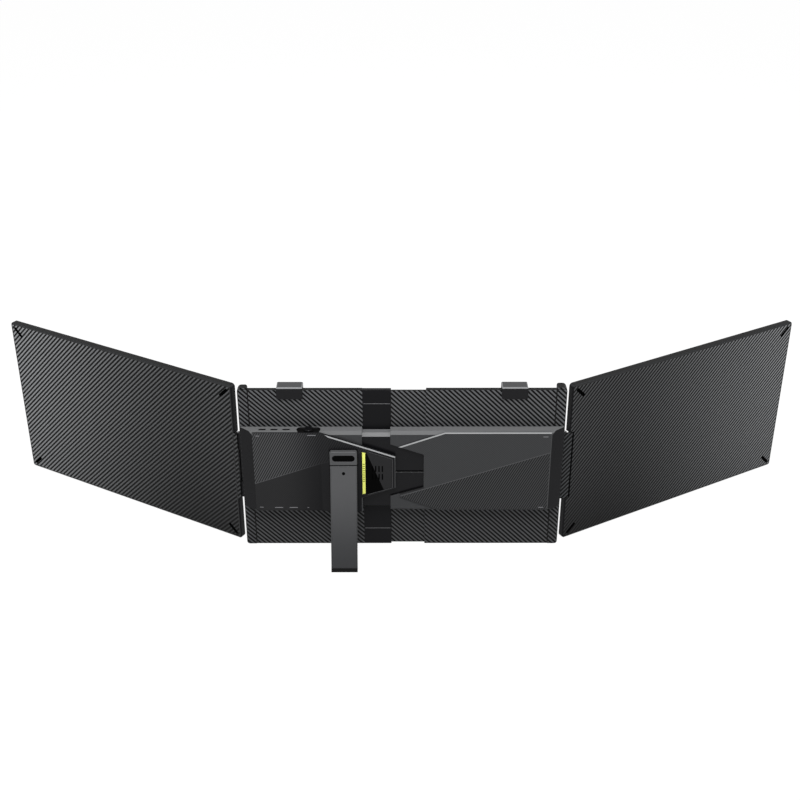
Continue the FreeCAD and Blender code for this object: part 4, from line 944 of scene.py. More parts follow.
def outline_plate(name: str, outline: Sequence[Point], back: float, front: float, bevel: float,
                  hole: float = 0.0) -> bpy.types.Object:
    """Makes a plate from an x, z outline, or a frame when it has a hole.

    Args:
        name: The piece's name.
        outline: Corners of the outline in order, in metres.
        back: The y of its back face.
        front: The y of its front face.
        bevel: Width of the bevel round its edges.
        hole: Width of the frame, or 0 for a whole plate.

    Returns:
        The new piece, placed in its mesh.
    """
    clear_selection()
    bpy.ops.mesh.primitive_circle_add(vertices=len(outline), radius=1.0, fill_type="NGON",
                                      location=(0.0, 0.0, 0.0))
    piece = bpy.context.active_object
    rename(piece, name)
    for vertex, (x, z) in zip(piece.data.vertices, outline):
        vertex.co = Vector((x, front, z))
    with shaping(piece):
        if hole > 0.0:
            bpy.ops.mesh.inset(thickness=hole, depth=0.0)
            bpy.ops.mesh.delete(type="FACE")
            bpy.ops.mesh.select_all(action="SELECT")
        bpy.ops.mesh.extrude_region_move(
            TRANSFORM_OT_translate={"value": (0.0, back - front, 0.0)})
        bpy.ops.mesh.select_all(action="SELECT")
        bpy.ops.mesh.normals_make_consistent(inside=False)
        bpy.ops.mesh.bevel(offset=bevel, segments=BEVEL_STEPS, affect="EDGES")
    return piece


def rounded_outline(low: Point, high: Point, radius: float, steps: int = 5) -> list[Point]:
    """Draws a rectangle with rounded corners.

    Args:
        low: The x and z of its lower left corner.
        high: The x and z of its upper right corner.
        radius: Radius of its corners.
        steps: Straight pieces in each corner.

    Returns:
        The points of the outline in order.
    """
    points = []
    centres = ((high[0] - radius, high[1] - radius, 0), (low[0] + radius, high[1] - radius, 90),
               (low[0] + radius, low[1] + radius, 180), (high[0] - radius, low[1] + radius, 270))
    for x, z, start in centres:
        for index in range(steps + 1):
            angle = math.radians(start + 90 * index / steps)
            points.append((x + radius * math.cos(angle), z + radius * math.sin(angle)))
    return points


def move_mesh(piece: bpy.types.Object, step: Vector) -> None:
    """Moves a piece's mesh by a step."""
    with shaping(piece):
        bpy.ops.transform.translate(value=tuple(step))


def turn_mesh(piece: bpy.types.Object, angle: float, axis: str, pivot: Vector) -> None:
    """Turns a piece's mesh about a line through a point.

    Args:
        piece: The piece to turn.
        angle: Degrees.
        axis: X, Y or Z.
        pivot: A point on the line.
    """
    with shaping(piece):
        bpy.ops.transform.rotate(value=math.radians(angle), orient_axis=axis,
                                 center_override=tuple(pivot))


def cut_away(piece: bpy.types.Object, level: float) -> None:
    """Cuts off what has an x below a level, and closes the cut."""
    with shaping(piece):
        bpy.ops.mesh.bisect(plane_co=(level, 0.0, 0.0), plane_no=(1.0, 0.0, 0.0),
                            use_fill=True, clear_inner=True)


def join(pieces: Sequence[bpy.types.Object], name: str) -> bpy.types.Object:
    """Joins pieces into one.

    Args:
        pieces: The pieces, the first of which takes in the others.
        name: The name of the joined piece.

    Returns:
        The joined piece.
    """
    make_active(pieces[0])
    for piece in pieces:
        piece.select_set(True)
    if len(pieces) > 1:
        bpy.ops.object.join()
    joined = bpy.context.active_object
    rename(joined, name)
    return joined


def copies(piece: bpy.types.Object, count: int) -> list[bpy.types.Object]:
    """Copies a piece, each copy with its own mesh.

    Args:
        piece: The piece as modelled.
        count: How many there are in the end.

    Returns:
        The piece and its copies.
    """
    pieces = [piece]
    while len(pieces) < count:
        make_active(piece)
        bpy.ops.object.duplicate()
        pieces.append(bpy.context.active_object)
    return pieces


def repeat(piece: bpy.types.Object, steps: Sequence[Vector]) -> bpy.types.Object:
    """Repeats a piece at other places.

    Args:
        piece: The piece as modelled.
        steps: How far each copy lies from it.

    Returns:
        The piece, joined with its copies.
    """
    pieces = copies(piece, len(steps) + 1)
    for copy, step in zip(pieces[1:], steps):
        move_mesh(copy, step)
    return join(pieces, piece.name)


def give(piece: bpy.types.Object, material: bpy.types.Material) -> None:
    """Makes a material the only one on a piece."""
    piece.data.materials.clear()
    piece.data.materials.append(material)


def settle(piece: bpy.types.Object, body: str, material: bpy.types.Material) -> None:
    """Dresses a new piece and lets it ride on its body.

    Args:
        piece: The new piece.
        body: The body it moves with.
        material: Its finish.
    """
    give(piece, material)
    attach(piece, body)
    LOG.info("piece %s on %s, %d faces", piece.name, body, len(piece.data.polygons))


def dress(names: Iterable[str], material: bpy.types.Material) -> None:
    """Gives a material to nodes of the frame.

    Args:
        names: The nodes' names.
        material: Their finish.
    """
    for name in names:
        give(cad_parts[name], material)
        LOG.info("node %s wears %s", name, material.name)


@dataclass(frozen=True)
class Inlay:
    """How a thin piece sits in a face that looks backward.

    Attributes:
        proud: How far it stands out of the face.
        sunk: How far it reaches into the face, less than 0 where it stays off it.
        bevel: Width of the bevel round its edges.
    """

    proud: float
    sunk: float
    bevel: float

    def bars(self, name: str, face: float, areas: Iterable[Area]) -> bpy.types.Object:
        """Lays bars on a face.

        Args:
            name: The name of the joined piece.
            face: The y of the face.
            areas: Left, bottom, right and top of each bar.

        Returns:
            The bars, joined.
        """
        return join([new_bar(name, Vector((left, face - self.proud, bottom)),
                             Vector((right, face + self.sunk, top)), self.bevel)
                     for left, bottom, right, top in areas], name)

    def plate(self, name: str, face: float, outline: Sequence[Point],
              hole: float = 0.0) -> bpy.types.Object:
        """Lays a plate on a face, or a frame when it has a hole.

        Args:
            name: The piece's name.
            face: The y of the face.
            outline: The x and z of its corners in order.
            hole: Width of the frame, or 0 for a whole plate.

        Returns:
            The new piece.
        """
        return outline_plate(name, outline, face - self.proud, face + self.sunk, self.bevel,
                             hole)


# Sub-assemblies


@dataclass
class Finishes:
    """Every material of the object."""

    kit: ShaderKit = field(default_factory=ShaderKit)
    wing_angle: float = 30.0
    # Spans and depths of the painted shade fades on the plate and the wings.
    plate_fade: Span = (0.22, 0.0)
    plate_fade_depth: float = 0.35
    wing_fade: Span = (0.24, -0.50)

    def __post_init__(self) -> None:
        """Builds the materials."""
        self.build_shells()
        self.build_covers()
        self.build_plastics()
        self.steel = self.make(BrushedMetal("plain_steel"))
        self.black_steel = self.make(BrushedMetal("blackened_steel", (0.02, 0.02, 0.021), 0.4))
        self.display = self.make(DisplayGlass("display_glass"))
        self.circuit = self.make(CircuitBoard("circuit_green"))

    def make(self, finish: Finish) -> bpy.types.Material:
        """Builds one finish with the shared groups."""
        return finish.build(self.kit)

    def moulded(self, name: str, colour: Colour, roughness: float,
                **details: object) -> bpy.types.Material:
        """Builds a moulded finish.

        Args:
            name: The material's name.
            colour: Its colour.
            roughness: Its roughness.
            **details: Further fields of MouldedPlastic.

        Returns:
            The material.
        """
        return self.make(MouldedPlastic(name, colour, roughness, **details))

    def build_shells(self) -> None:
        """Builds the carbon finishes of the wings, the plate, the rails and the link."""
        # Wings: painted shade, fading darker towards the hinge and the bottom.
        self.left_wing = self.make(CarbonShell(
            "carbon_left_wing", Lean.RISING, (0.325, 0.332, 0.342), self.wing_angle,
            seam=NO_SEAM, fade_x=(-0.60, -0.20), fade_z=self.wing_fade, fade_depth=0.73))
        self.right_wing = self.make(CarbonShell(
            "carbon_right_wing", Lean.RISING, (0.295, 0.302, 0.311), -self.wing_angle,
            seam=NO_SEAM, fade_x=(0.60, 0.20), fade_z=self.wing_fade, fade_depth=0.75))
        # Plate and rails: painted shade, darker towards the bottom.
        self.plate, self.rail = (
            self.make(CarbonShell(name, Lean.FALLING, light, fade_z=self.plate_fade,
                                  fade_depth=self.plate_fade_depth))
            for name, light in (("carbon_plate", (0.118, 0.121, 0.126)),
                                ("carbon_rail", (0.108, 0.111, 0.116))))
        # The link's carbon is a darker copy of the wings' carbon: painted shade for its turned
        # face.
        self.link = self.make(CarbonShell("carbon_link", Lean.RISING, (0.060, 0.062, 0.065),
                                          -self.wing_angle / 2, seam=NO_SEAM))

    def build_covers(self) -> None:
        """Builds the finishes of the two cover plates and the window."""
        # Left cover: painted shadow fade across x.
        self.left_cover = self.make(TwoToneCover(
            "left_cover_grey", plain=(0.021, 0.021, 0.022), ribbed=(0.076, 0.077, 0.080),
            line_start=(-0.1777, 0.0992), line_slope=0.355, ribs_above=True,
            fade_x=(-0.150, -0.090), fade_depth=0.80))
        self.right_cover = self.make(TwoToneCover(
            "right_cover_grey", plain=(0.047, 0.048, 0.050), ribbed=(0.052, 0.053, 0.055),
            line_start=(0.0030, 0.0826), line_slope=0.342, ribs_above=False))
        # The window's grey field is painted reflection.
        self.window = self.make(GlossWindow("window_gloss", (-0.0411, 0.140), -2.55))

    def build_plastics(self) -> None:
        """Builds the moulded, painted and printed finishes."""
        self.sleeve = self.moulded("smooth_black", (0.006, 0.006, 0.007), 0.30, specular=0.08)
        # Bridge: painted highlights on its top and upper bevels.
        self.bridge = self.moulded("bridge_black", (0.006, 0.006, 0.007), 0.28,
                                   top_colour=(0.170, 0.172, 0.176),
                                   bevel_colour=(0.125, 0.126, 0.129))
        # Housing: painted shade on its ends and sunk tray floor, painted highlights on its top and
        # upper bevels.
        self.housing = self.moulded("housing_grey", (0.046, 0.047, 0.049), 0.28, specular=0.06,
                                    radius=0.8 * MM, end_colour=(0.006, 0.006, 0.007),
                                    top_colour=(0.165, 0.167, 0.171),
                                    bevel_colour=(0.120, 0.122, 0.125), tray_level=0.1690)
        self.gloss = self.moulded("gloss_black", (0.001, 0.001, 0.001), 0.10, depth=0.0,
                                  specular=0.02)
        self.accent = self.moulded("accent_yellow", (0.86, 0.90, 0.20), 0.45)
        # Stand: painted shade, darker towards the bottom.
        self.stand = self.moulded("stand_grey", (0.084, 0.085, 0.088), 0.36, specular=0.10,
                                  radius=0.6 * MM, low_colour=(0.038, 0.039, 0.041))
        self.rubber = self.moulded("matt_rubber", (0.006, 0.006, 0.006), 0.8, specular=0.1)
        # Black of real slots and inlays, and of the painted shade bars in grooves, round the stand
        # head and over the screw hole.
        self.gap = self.moulded("gap_black", (0.0015, 0.0015, 0.0015), 0.9, specular=0.0,
                                depth=0.0, variation=0.3)
        # Clips: painted highlights on their tops and upper bevels.
        self.clip = self.moulded("clip_grey", (0.010, 0.010, 0.011), 0.30, specular=0.10,
                                 radius=0.8 * MM, top_colour=(0.052, 0.053, 0.055),
                                 bevel_colour=(0.230, 0.233, 0.240))
        self.bezel = self.moulded("bezel_black", (0.010, 0.010, 0.011), 0.4)
        self.mark = self.moulded("printed_mark", (0.30, 0.33, 0.05), 0.6)
        self.wing_rim = self.moulded("wing_rim_grey", (0.013, 0.013, 0.014), 0.32, specular=0.2)
        self.pale_mark = self.moulded("pale_mark", (0.22, 0.22, 0.23), 0.5)
        # Worn by the painted highlight lines of the bridge groove and the window.
        self.rim = self.moulded("rim_grey", (0.050, 0.051, 0.053), 0.30, specular=0.45)


@dataclass
class BackPlate:
    """The telescoping plate: shells, sleeve, slide, rails, pads and hinge brackets."""

    finishes: Finishes
    line: Inlay = Inlay(0.05 * MM, 0.1 * MM, 0.04 * MM)
    line_height: float = 0.5 * MM
    line_inset: float = 1.0 * MM
    line_levels: Span = (0.0232, 0.2009)

    def build(self) -> None:
        """Builds and dresses the plate."""
        self.dress_nodes()
        self.sleeve_lines()

    def dress_nodes(self) -> None:
        """Dresses the nodes of the frame."""
        finishes = self.finishes
        dress(("left_back_plate", "right_back_plate", "inner_slide_plate"), finishes.plate)
        dress(("left_side_rail", "right_side_rail"), finishes.rail)
        dress(("right_hinge_link",), finishes.link)
        dress(("left_front_plate", "right_front_plate", "end_sleeve"), finishes.sleeve)
        dress(("slide_bridge",), finishes.bridge)
        dress(("left_rail_pad", "right_rail_pad", "left_lid_pads", "right_lid_pads"),
              finishes.rubber)
        dress(("left_housing_screws", "right_housing_screws", "left_hinge_bracket",
               "right_hinge_bracket"), finishes.black_steel)
        dress(("left_hinge_pin", "right_plate_hinge_pin", "right_wing_hinge_pin",
               "left_clip_spring", "right_clip_spring"), finishes.steel)

    def sleeve_lines(self) -> None:
        """Adds the thin raised lines across the smooth sleeve."""
        low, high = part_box("end_sleeve")
        lower, upper = self.line_levels
        line = self.line.bars("sleeve_lines", low.y, [
            (low.x + self.line_inset, lower, high.x - self.line_inset,
             lower + self.line_height)])
        lines = repeat(line, [Vector((0.0, 0.0, upper - lower))])
        settle(lines, "left_half", self.finishes.pale_mark)


@dataclass
class Housing:
    """The electronics housing with its covers, window, strip, ports and button."""

    finishes: Finishes
    # A black bar of painted shade in the bridge groove and a light bar of painted highlight below
    # it.
    seal: Inlay = Inlay(0.03 * MM, 0.4 * MM, 0.02 * MM)
    seal_levels: Span = (-0.7 * MM, 0.8 * MM)
    lip: Inlay = Inlay(0.05 * MM, 0.4 * MM, 0.02 * MM)
    lip_levels: Span = (-1.3 * MM, -0.7 * MM)
    groove_insets: Span = (2.0 * MM, 0.5 * MM)
    border: Inlay = Inlay(0.04 * MM, 0.3 * MM, 0.03 * MM)
    border_bottom: float = 1.0 * MM
    left_border: tuple[float, float, float] = (-0.2 * MM, 0.4 * MM, 0.4 * MM)
    right_border: tuple[float, float, float] = (-0.9 * MM, 0.2 * MM, 1.9 * MM)
    tick: Inlay = Inlay(0.03 * MM, 0.05 * MM, 0.02 * MM)
    tick_count: int = 9
    tick_pitch: float = 3.0 * MM
    tick_height: float = 1.4 * MM
    tick_insets: Span = (0.8 * MM, 1.4 * MM)
    # The thin line of painted highlight inside the window's edge.
    frame_line: Inlay = Inlay(0.14 * MM, 0.2 * MM, 0.03 * MM)
    frame_width: float = 0.5 * MM
    frame_grow: float = 1.1 * MM
    frame_pinch: float = 0.6
    frame_opening: float = 1.5 * MM
    window_slope: float = 0.3575
    window_low_slope: float = 0.3133
    slot: Inlay = Inlay(0.03 * MM, 0.2 * MM, 0.02 * MM)
    slot_half: Span = (0.8 * MM, 4.2 * MM)
    slot_corner: float = 0.5 * MM
    slot_pitch: Span = (4.0 * MM, 11.2 * MM)
    slot_shift: Span = (-2.0 * MM, 0.5 * MM)
    slot_columns: int = 4
    slot_rows: int = 2
    dash: Inlay = Inlay(0.04 * MM, 0.1 * MM, 0.02 * MM)
    dash_height: float = 0.9 * MM
    cover_face: float = -0.0830196
    left_marks: tuple[tuple[float, float, float], ...] = (
        (-0.1745, 0.1655, 0.0045), (-0.1130, 0.1663, 0.0100), (-0.1745, 0.0645, 0.0045),
        (-0.1560, 0.0640, 0.0100), (-0.1380, 0.0640, 0.0100), (-0.1160, 0.0640, 0.0020))
    right_marks: tuple[tuple[float, float, float], ...] = (
        (0.1680, 0.1640, 0.0060), (0.1670, 0.0640, 0.0060))

    def build(self) -> None:
        """Builds and dresses the housing."""
        self.dress_nodes()
        self.ticks()
        self.bridge_groove()
        self.strip_border()
        self.window_frame()
        self.window_slots()
        self.cover_marks("left_cover_marks", "left_half", self.left_marks)
        self.cover_marks("right_cover_marks", "right_half", self.right_marks)

    def dress_nodes(self) -> None:
        """Dresses the nodes of the frame."""
        finishes = self.finishes
        dress(("left_housing", "right_housing"), finishes.housing)
        dress(("left_cover",), finishes.left_cover)
        dress(("right_cover",), finishes.right_cover)
        dress(("nose_window",), finishes.window)
        dress(("accent_strip",), finishes.accent)
        dress(("menu_button",), finishes.sleeve)
        dress(("usb_c_port_1", "usb_c_port_2", "usb_c_port_3"), finishes.black_steel)
        dress(("main_board",), finishes.circuit)

    def ticks(self) -> None:
        """Adds plain ticks down the middle of the accent strip."""
        low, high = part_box("accent_strip")
        lowest = (low.z + high.z) / 2 - (self.tick_count - 1) / 2 * self.tick_pitch
        left, right = self.tick_insets
        tick = self.tick.bars("strip_ticks", low.y, [
            (low.x + left, lowest, high.x - right, lowest + self.tick_height)])
        ticks = repeat(tick, [Vector((0.0, 0.0, index * self.tick_pitch))
                              for index in range(1, self.tick_count)])
        settle(ticks, "left_half", self.finishes.mark)

    def bridge_groove(self) -> None:
        """Adds a black bar of painted shade in the groove of the bridge and a light bar of painted
        highlight below it.
        """
        low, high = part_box("slide_bridge")
        middle = (low.z + high.z) / 2
        left, right = self.groove_insets
        for name, inlay, levels, material in (
                ("bridge_groove_seal", self.seal, self.seal_levels, self.finishes.gap),
                ("bridge_groove_lip", self.lip, self.lip_levels, self.finishes.rim)):
            bar = inlay.bars(name, low.y, [
                (low.x + left, middle + levels[0], high.x - right, middle + levels[1])])
            settle(bar, "right_half", material)

    def strip_border(self) -> None:
        """Adds the black border beside the accent strip."""
        low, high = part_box("accent_strip")
        areas = [(edge + left, low.z + self.border_bottom, edge + right, high.z - top)
                 for edge, (left, right, top) in ((low.x, self.left_border),
                                                  (high.x, self.right_border))]
        settle(self.border.bars("strip_border", low.y, areas), "left_half",
               self.finishes.gap)

    def window_frame(self) -> None:
        """Adds the thin painted highlight line inside the edge of the window, open at its left end.
        """
        low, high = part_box("nose_window")
        drop = (high.x - low.x) * self.window_slope
        rise = (high.x - low.x) * self.window_low_slope
        grow = self.frame_grow
        pinch = grow * self.frame_pinch
        outline = [(low.x, high.z + grow), (high.x + grow, high.z - drop + pinch),
                   (high.x + grow, low.z + rise - pinch), (low.x, low.z - grow)]
        line = self.frame_line.plate("window_frame", low.y, outline, self.frame_width)
        cut_away(line, low.x + self.frame_opening)
        settle(line, "left_half", self.finishes.rim)

    def window_slots(self) -> None:
        """Adds two rows of upright slots in the window."""
        low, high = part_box("nose_window")
        across, up = self.slot_pitch
        x = (low.x + high.x) / 2 + self.slot_shift[0] - (self.slot_columns - 1) / 2 * across
        z = (low.z + high.z) / 2 + self.slot_shift[1] - (self.slot_rows - 1) / 2 * up
        half_width, half_height = self.slot_half
        outline = rounded_outline((x - half_width, z - half_height),
                                  (x + half_width, z + half_height), self.slot_corner, 2)
        slot = self.slot.plate("window_slots", low.y, outline)
        places = list(product(range(self.slot_rows), range(self.slot_columns)))
        slots = repeat(slot, [Vector((column * across, 0.0, row * up))
                              for row, column in places[1:]])
        settle(slots, "left_half", self.finishes.gap)

    def cover_marks(self, name: str, body: str,
                    places: Sequence[tuple[float, float, float]]) -> None:
        """Adds the small plain dashes printed near the corners of a cover.

        Args:
            name: The piece's name.
            body: The body it moves with.
            places: Left, bottom and length of each dash.
        """
        marks = self.dash.bars(name, self.cover_face, [
            (x, z, x + length, z + self.dash_height) for x, z, length in places])
        settle(marks, body, self.finishes.pale_mark)


@dataclass
class Stand:
    """The prop stand and its mount."""

    finishes: Finishes
    axis: Vector = field(default_factory=lambda: Vector((-0.0703, -0.0885196, 0.127)))
    turn: float = 16.4
    half_width: float = 16.0 * MM
    half_thickness: float = 2.55 * MM
    leg_length: float = 126.8 * MM
    # The dark bar of painted shade in the groove between head and leg.
    filler: Inlay = Inlay(1.2 * MM, 0.0, 0.1 * MM)
    filler_depth: float = 1.25 * MM
    filler_levels: Span = (2.3 * MM, 3.3 * MM)
    # The black plate of painted shadow round the head of the stand.
    gasket: Inlay = Inlay(0.30 * MM, -0.02 * MM, 0.05 * MM)
    gasket_grow: float = 0.9 * MM
    gasket_drop: float = 2.0 * MM
    gasket_corner: float = 2.6 * MM
    skin: Inlay = Inlay(0.12 * MM, 0.05 * MM, 0.04 * MM)
    skin_inset: float = 1.15 * MM
    skin_drop: float = 0.2 * MM
    skin_corner: float = 0.4 * MM
    # The black disc of painted shade over the leg's screw hole.
    cap: Inlay = Inlay(0.16 * MM, 0.0, 0.03 * MM)
    cap_drop: float = 8.4 * MM
    cap_radius: float = 1.95 * MM
    cap_flat: float = 0.01 * MM

    def build(self) -> None:
        """Builds and dresses the stand."""
        dress(("stand_mount", "stand_leg"), self.finishes.stand)
        dress(("stand_badge",), self.finishes.gloss)
        dress(("stand_foot",), self.finishes.rubber)
        dress(("stand_pin",), self.finishes.steel)
        self.groove_filler()
        self.head_gasket()
        self.face_plate()
        self.screw_cap()

    def groove_filler(self) -> None:
        """Adds a dark bar of painted shade in the groove between head and leg."""
        axis = self.axis
        low, high = self.filler_levels
        bar = self.filler.bars("stand_groove_filler", axis.y - self.filler_depth, [
            (axis.x - self.half_width, axis.z + low, axis.x + self.half_width, axis.z + high)])
        settle(bar, "left_half", self.finishes.gap)

    def head_gasket(self) -> None:
        """Adds a black plate of painted shadow round the head of the stand."""
        low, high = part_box("stand_mount")
        grow = self.gasket_grow
        outline = rounded_outline((low.x - grow, self.axis.z - self.gasket_drop),
                                  (high.x + grow, high.z + grow), self.gasket_corner)
        settle(self.gasket.plate("stand_head_gasket", high.y, outline), "left_half",
               self.finishes.gap)

    def on_leg(self, inlay: Inlay, name: str, outline: Sequence[Point]) -> bpy.types.Object:
        """Lays a plate on the back of the leg.

        Args:
            inlay: How it sits in the leg.
            name: The piece's name.
            outline: Its outline on the leg hanging straight down.

        Returns:
            The new piece, turned with the leg.
        """
        plate = inlay.plate(name, self.axis.y - self.half_thickness, outline)
        turn_mesh(plate, self.turn, "X", self.axis)
        return plate

    def face_plate(self) -> None:
        """Adds the thin satin skin on the back of the leg."""
        axis = self.axis
        reach = self.half_width - self.skin_inset
        outline = rounded_outline((axis.x - reach, axis.z - self.leg_length),
                                  (axis.x + reach, axis.z - self.skin_drop), self.skin_corner)
        settle(self.on_leg(self.skin, "leg_face_plate", outline), "stand",
               self.finishes.stand)

    def screw_cap(self) -> None:
        """Adds a black disc of painted shade over the screw hole of the leg."""
        radius = self.cap_radius
        middle = self.axis.z - self.cap_drop
        outline = rounded_outline((self.axis.x - radius, middle - radius),
                                  (self.axis.x + radius, middle + radius),
                                  radius - self.cap_flat, 6)
        settle(self.on_leg(self.cap, "leg_screw_cap", outline), "stand",
               self.finishes.gap)


@dataclass
class LidClips:
    """The two sprung hooks on the top edge."""

    finishes: Finishes

    def build(self) -> None:
        """Dresses the clips."""
        for side in Side:
            dress((side.word + "_lid_clip",), self.finishes.clip)
            dress((side.word + "_clip_pad",), self.finishes.rubber)


@dataclass
class ScreenWing:
    """One screen wing.

    Attributes:
        finishes: Every material.
        side: Which wing it is.
        axis: A point on its hinge line.
        start: From the hinge line to the near edge of the wing, along the wing.
        depth: From the hinge line to the wing's back face.
    """

    finishes: Finishes
    side: Side
    axis: Vector
    start: float
    depth: float
    length: float = 357.3 * MM
    height: float = 219.4 * MM
    angle: float = 30.0
    rim: Inlay = Inlay(0.10 * MM, 0.15 * MM, 0.04 * MM)
    rim_width: float = 1.3 * MM
    rim_inset: float = 1.4 * MM
    rim_corner: float = 3.0 * MM
    rim_opening: float = 4.0 * MM
    bar: Inlay = Inlay(0.05 * MM, 0.4 * MM, 0.03 * MM)
    bar_half: Span = (8.2 * MM, 2.1 * MM)
    bar_inset: float = 12.0 * MM
    bar_corner: float = 0.9 * MM
    bar_turn: float = 45.0

    def build(self) -> None:
        """Builds and dresses the wing."""
        word = self.side.word
        finishes = self.finishes
        shell = finishes.left_wing if self.side is Side.LEFT else finishes.right_wing
        dress((word + "_wing_back_cover",), shell)
        dress((word + "_wing_bezel",), finishes.bezel)
        dress((word + "_wing_screen",), finishes.display)
        dress((word + "_wing_driver_board",), finishes.circuit)
        dress((word + "_wing_hinge_leaf",), finishes.black_steel)
        dress((word + "_wing_corner_inlays",), finishes.gap)
        self.back_rim()
        self.corner_bars()

    def hang(self, piece: bpy.types.Object, material: bpy.types.Material) -> None:
        """Moves a piece drawn flat about the hinge line onto the opened wing.

        Args:
            piece: The piece, drawn with the hinge line at x and y 0.
            material: Its finish.
        """
        move_mesh(piece, self.axis)
        turn_mesh(piece, -self.side.value * self.angle, "Z", self.axis)
        settle(piece, self.side.word + "_wing", material)

    def back_rim(self) -> None:
        """Adds the slim raised rim round the back of the wing, open at the right hinge link."""
        near = self.start + self.rim_inset
        far = self.start + self.length - self.rim_inset
        left, right = sorted((self.side.value * near, self.side.value * far))
        outline = rounded_outline((left, self.rim_inset), (right, self.height - self.rim_inset),
                                  self.rim_corner)
        rim = self.rim.plate(self.side.word + "_wing_rim", -self.depth, outline, self.rim_width)
        if self.side is Side.RIGHT:
            cut_away(rim, near + self.rim_opening)
        self.hang(rim, self.finishes.wing_rim)

    def corner_bars(self) -> None:
        """Adds the black bars that point at the corners of the wing."""
        name = self.side.word + "_wing_corner_bars"
        half_length, half_width = self.bar_half
        outline = rounded_outline((-half_length, -half_width), (half_length, half_width),
                                  self.bar_corner, 2)
        inset = self.bar_inset
        columns = ((self.start + inset, -1), (self.start + self.length - inset, 1))
        rows = ((inset, -1), (self.height - inset, 1))
        places = list(product(columns, rows))
        bars = copies(self.bar.plate(name, -self.depth, outline), len(places))
        for bar, ((along, outer), (up, top)) in zip(bars, places):
            turn_mesh(bar, self.bar_turn * self.side.value * outer * top, "Y", Vector())
            move_mesh(bar, Vector((self.side.value * along, 0.0, up)))
        self.hang(join(bars, name), self.finishes.gap)


@dataclass(frozen=True)
class Lamp:
    """One area lamp that looks at the object."""

    name: str
    place: tuple[float, float, float]
    width: float
    height: float
    power: float

    def build(self, target: Vector) -> None:
        """Adds the lamp.

        Args:
            target: The point it looks at.
        """
        data = bpy.data.lights.new(self.name, "AREA")
        data.shape = "RECTANGLE"
        data.size = self.width
        data.size_y = self.height
        data.energy = self.power
        lamp = bpy.data.objects.new(self.name, data)
        lamp.location = self.place
        aim = target - Vector(self.place)
        lamp.rotation_euler = aim.to_track_quat("-Z", "Y").to_euler()
        bpy.context.scene.collection.objects.link(lamp)


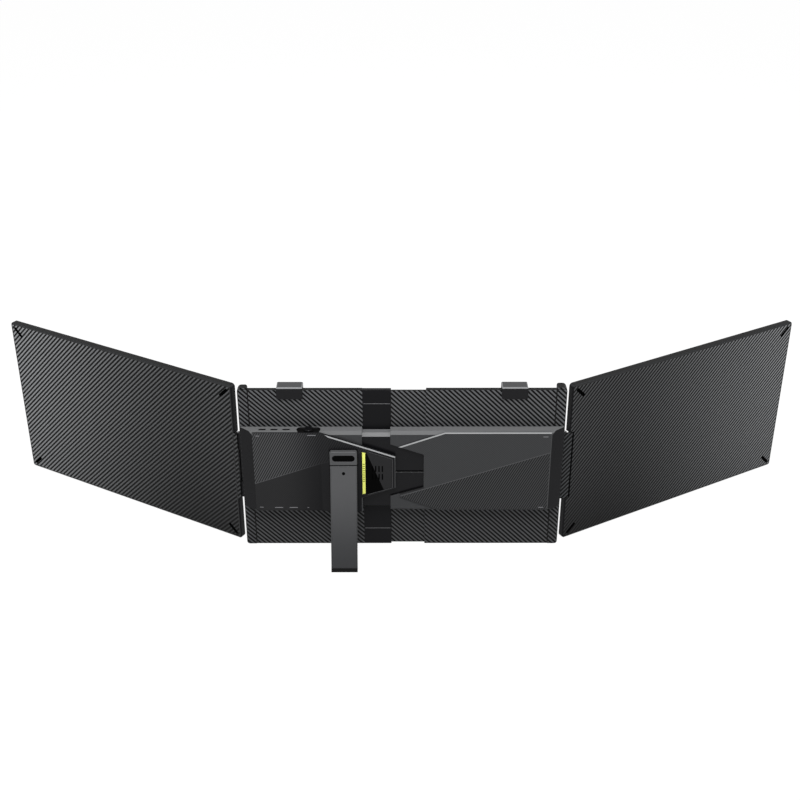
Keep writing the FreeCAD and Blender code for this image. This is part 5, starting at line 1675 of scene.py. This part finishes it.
@dataclass
class Studio:
    """Floor, lamps, world and camera."""

    camera_place: tuple[float, float, float] = (-0.00461, -1.38180, 0.92568)
    camera_pitch: float = 28.697
    camera_yaw: float = 0.089
    camera_reach: float = 100.0
    lens: float = 56.93
    sensor: float = 36.0
    floor_half: float = 12.0
    floor_colour: Colour = (0.82, 0.82, 0.82)
    floor_glow: float = 1.07
    floor_share: float = 0.88
    world_level: float = 0.45
    target: tuple[float, float, float] = (0.0, 0.0, 0.1)
    lamps: tuple[Lamp, ...] = (
        Lamp("overhead", (-0.05, -1.15, 2.00), 0.60, 0.80, 30.0),
        Lamp("back_strip", (0.0, 1.2, 1.9), 2.0, 0.6, 8.0),
        Lamp("left_fill", (-1.5, -0.6, 1.3), 0.9, 0.9, 4.0),
        Lamp("right_fill", (1.5, -0.6, 1.3), 0.9, 0.9, 4.0),
    )

    def build(self) -> None:
        """Sets up the whole studio."""
        self.camera()
        self.floor()
        for lamp in self.lamps:
            lamp.build(Vector(self.target))
        self.world()
        bpy.context.scene.view_settings.view_transform = "Standard"

    def camera(self) -> None:
        """Adds the camera at the photograph's place."""
        data = bpy.data.cameras.new("photo_camera")
        data.lens = self.lens
        data.sensor_width = self.sensor
        data.clip_end = self.camera_reach
        camera = bpy.data.objects.new("photo_camera", data)
        camera.location = self.camera_place
        camera.rotation_euler = (math.radians(90.0 - self.camera_pitch), 0.0,
                                 math.radians(-self.camera_yaw))
        bpy.context.scene.collection.objects.link(camera)
        bpy.context.scene.camera = camera

    def seen(self, sketch: Sketch) -> Socket:
        """Tells the rays that show a surface from those that only carry its light.

        Args:
            sketch: The sketch to add to.

        Returns:
            A socket that is 1 on camera, glossy and transmission rays.
        """
        path = sketch.add("ShaderNodeLightPath")
        mirrored = sketch.math("MAXIMUM", path.outputs["Is Glossy Ray"],
                               path.outputs["Is Transmission Ray"])
        return sketch.math("MAXIMUM", path.outputs["Is Camera Ray"], mirrored)

    def floor(self) -> None:
        """Adds the pale floor, which shows white and keeps a faint shadow."""
        clear_selection()
        bpy.ops.mesh.primitive_plane_add(size=2 * self.floor_half, location=(0.0, 0.0, 0.0))
        floor = bpy.context.active_object
        floor.name = "studio_floor"
        material = bpy.data.materials.new("studio_floor")
        material.use_nodes = True
        material.node_tree.nodes.clear()
        sketch = Sketch(material.node_tree)
        output = sketch.add("ShaderNodeOutputMaterial")
        diffuse = sketch.add("ShaderNodeBsdfDiffuse")
        diffuse.inputs["Color"].default_value = opaque(self.floor_colour)
        glow = sketch.add("ShaderNodeEmission")
        glow.inputs["Strength"].default_value = self.floor_glow
        mix = sketch.add("ShaderNodeMixShader")
        sketch.feed(mix.inputs[0], sketch.math("MULTIPLY", self.seen(sketch), self.floor_share))
        sketch.feed(mix.inputs[1], diffuse.outputs[0])
        sketch.feed(mix.inputs[2], glow.outputs[0])
        sketch.feed(output.inputs["Surface"], mix.outputs[0])
        give(floor, material)

    def world(self) -> None:
        """Adds the white world, which lights less than it shows."""
        world = bpy.data.worlds.new("studio")
        world.use_nodes = True
        world.node_tree.nodes.clear()
        sketch = Sketch(world.node_tree)
        output = sketch.add("ShaderNodeOutputWorld")
        background = sketch.add("ShaderNodeBackground")
        background.inputs["Color"].default_value = (1.0, 1.0, 1.0, 1.0)
        strength = sketch.spread(self.seen(sketch), self.world_level, 1.0)
        sketch.feed(background.inputs["Strength"], strength)
        sketch.feed(output.inputs["Surface"], background.outputs[0])
        bpy.context.scene.world = world


def main() -> None:
    """Builds the studio and every sub-assembly in order."""
    logging.basicConfig(level=logging.INFO, format="%(message)s")
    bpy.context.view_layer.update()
    Studio().build()
    finishes = Finishes()
    wings = (ScreenWing(finishes, Side.LEFT, axis=Vector((-0.2000, -0.0515196, 0.0)),
                        start=0.2 * MM, depth=6.46 * MM),
             ScreenWing(finishes, Side.RIGHT, axis=Vector((0.2056, -0.0488196, 0.0)),
                        start=-6.0 * MM, depth=6.0 * MM))
    for part in (BackPlate(finishes), Housing(finishes), Stand(finishes), LidClips(finishes),
                 *wings):
        part.build()
    clear_selection()


if __name__ == "__main__":
    main()
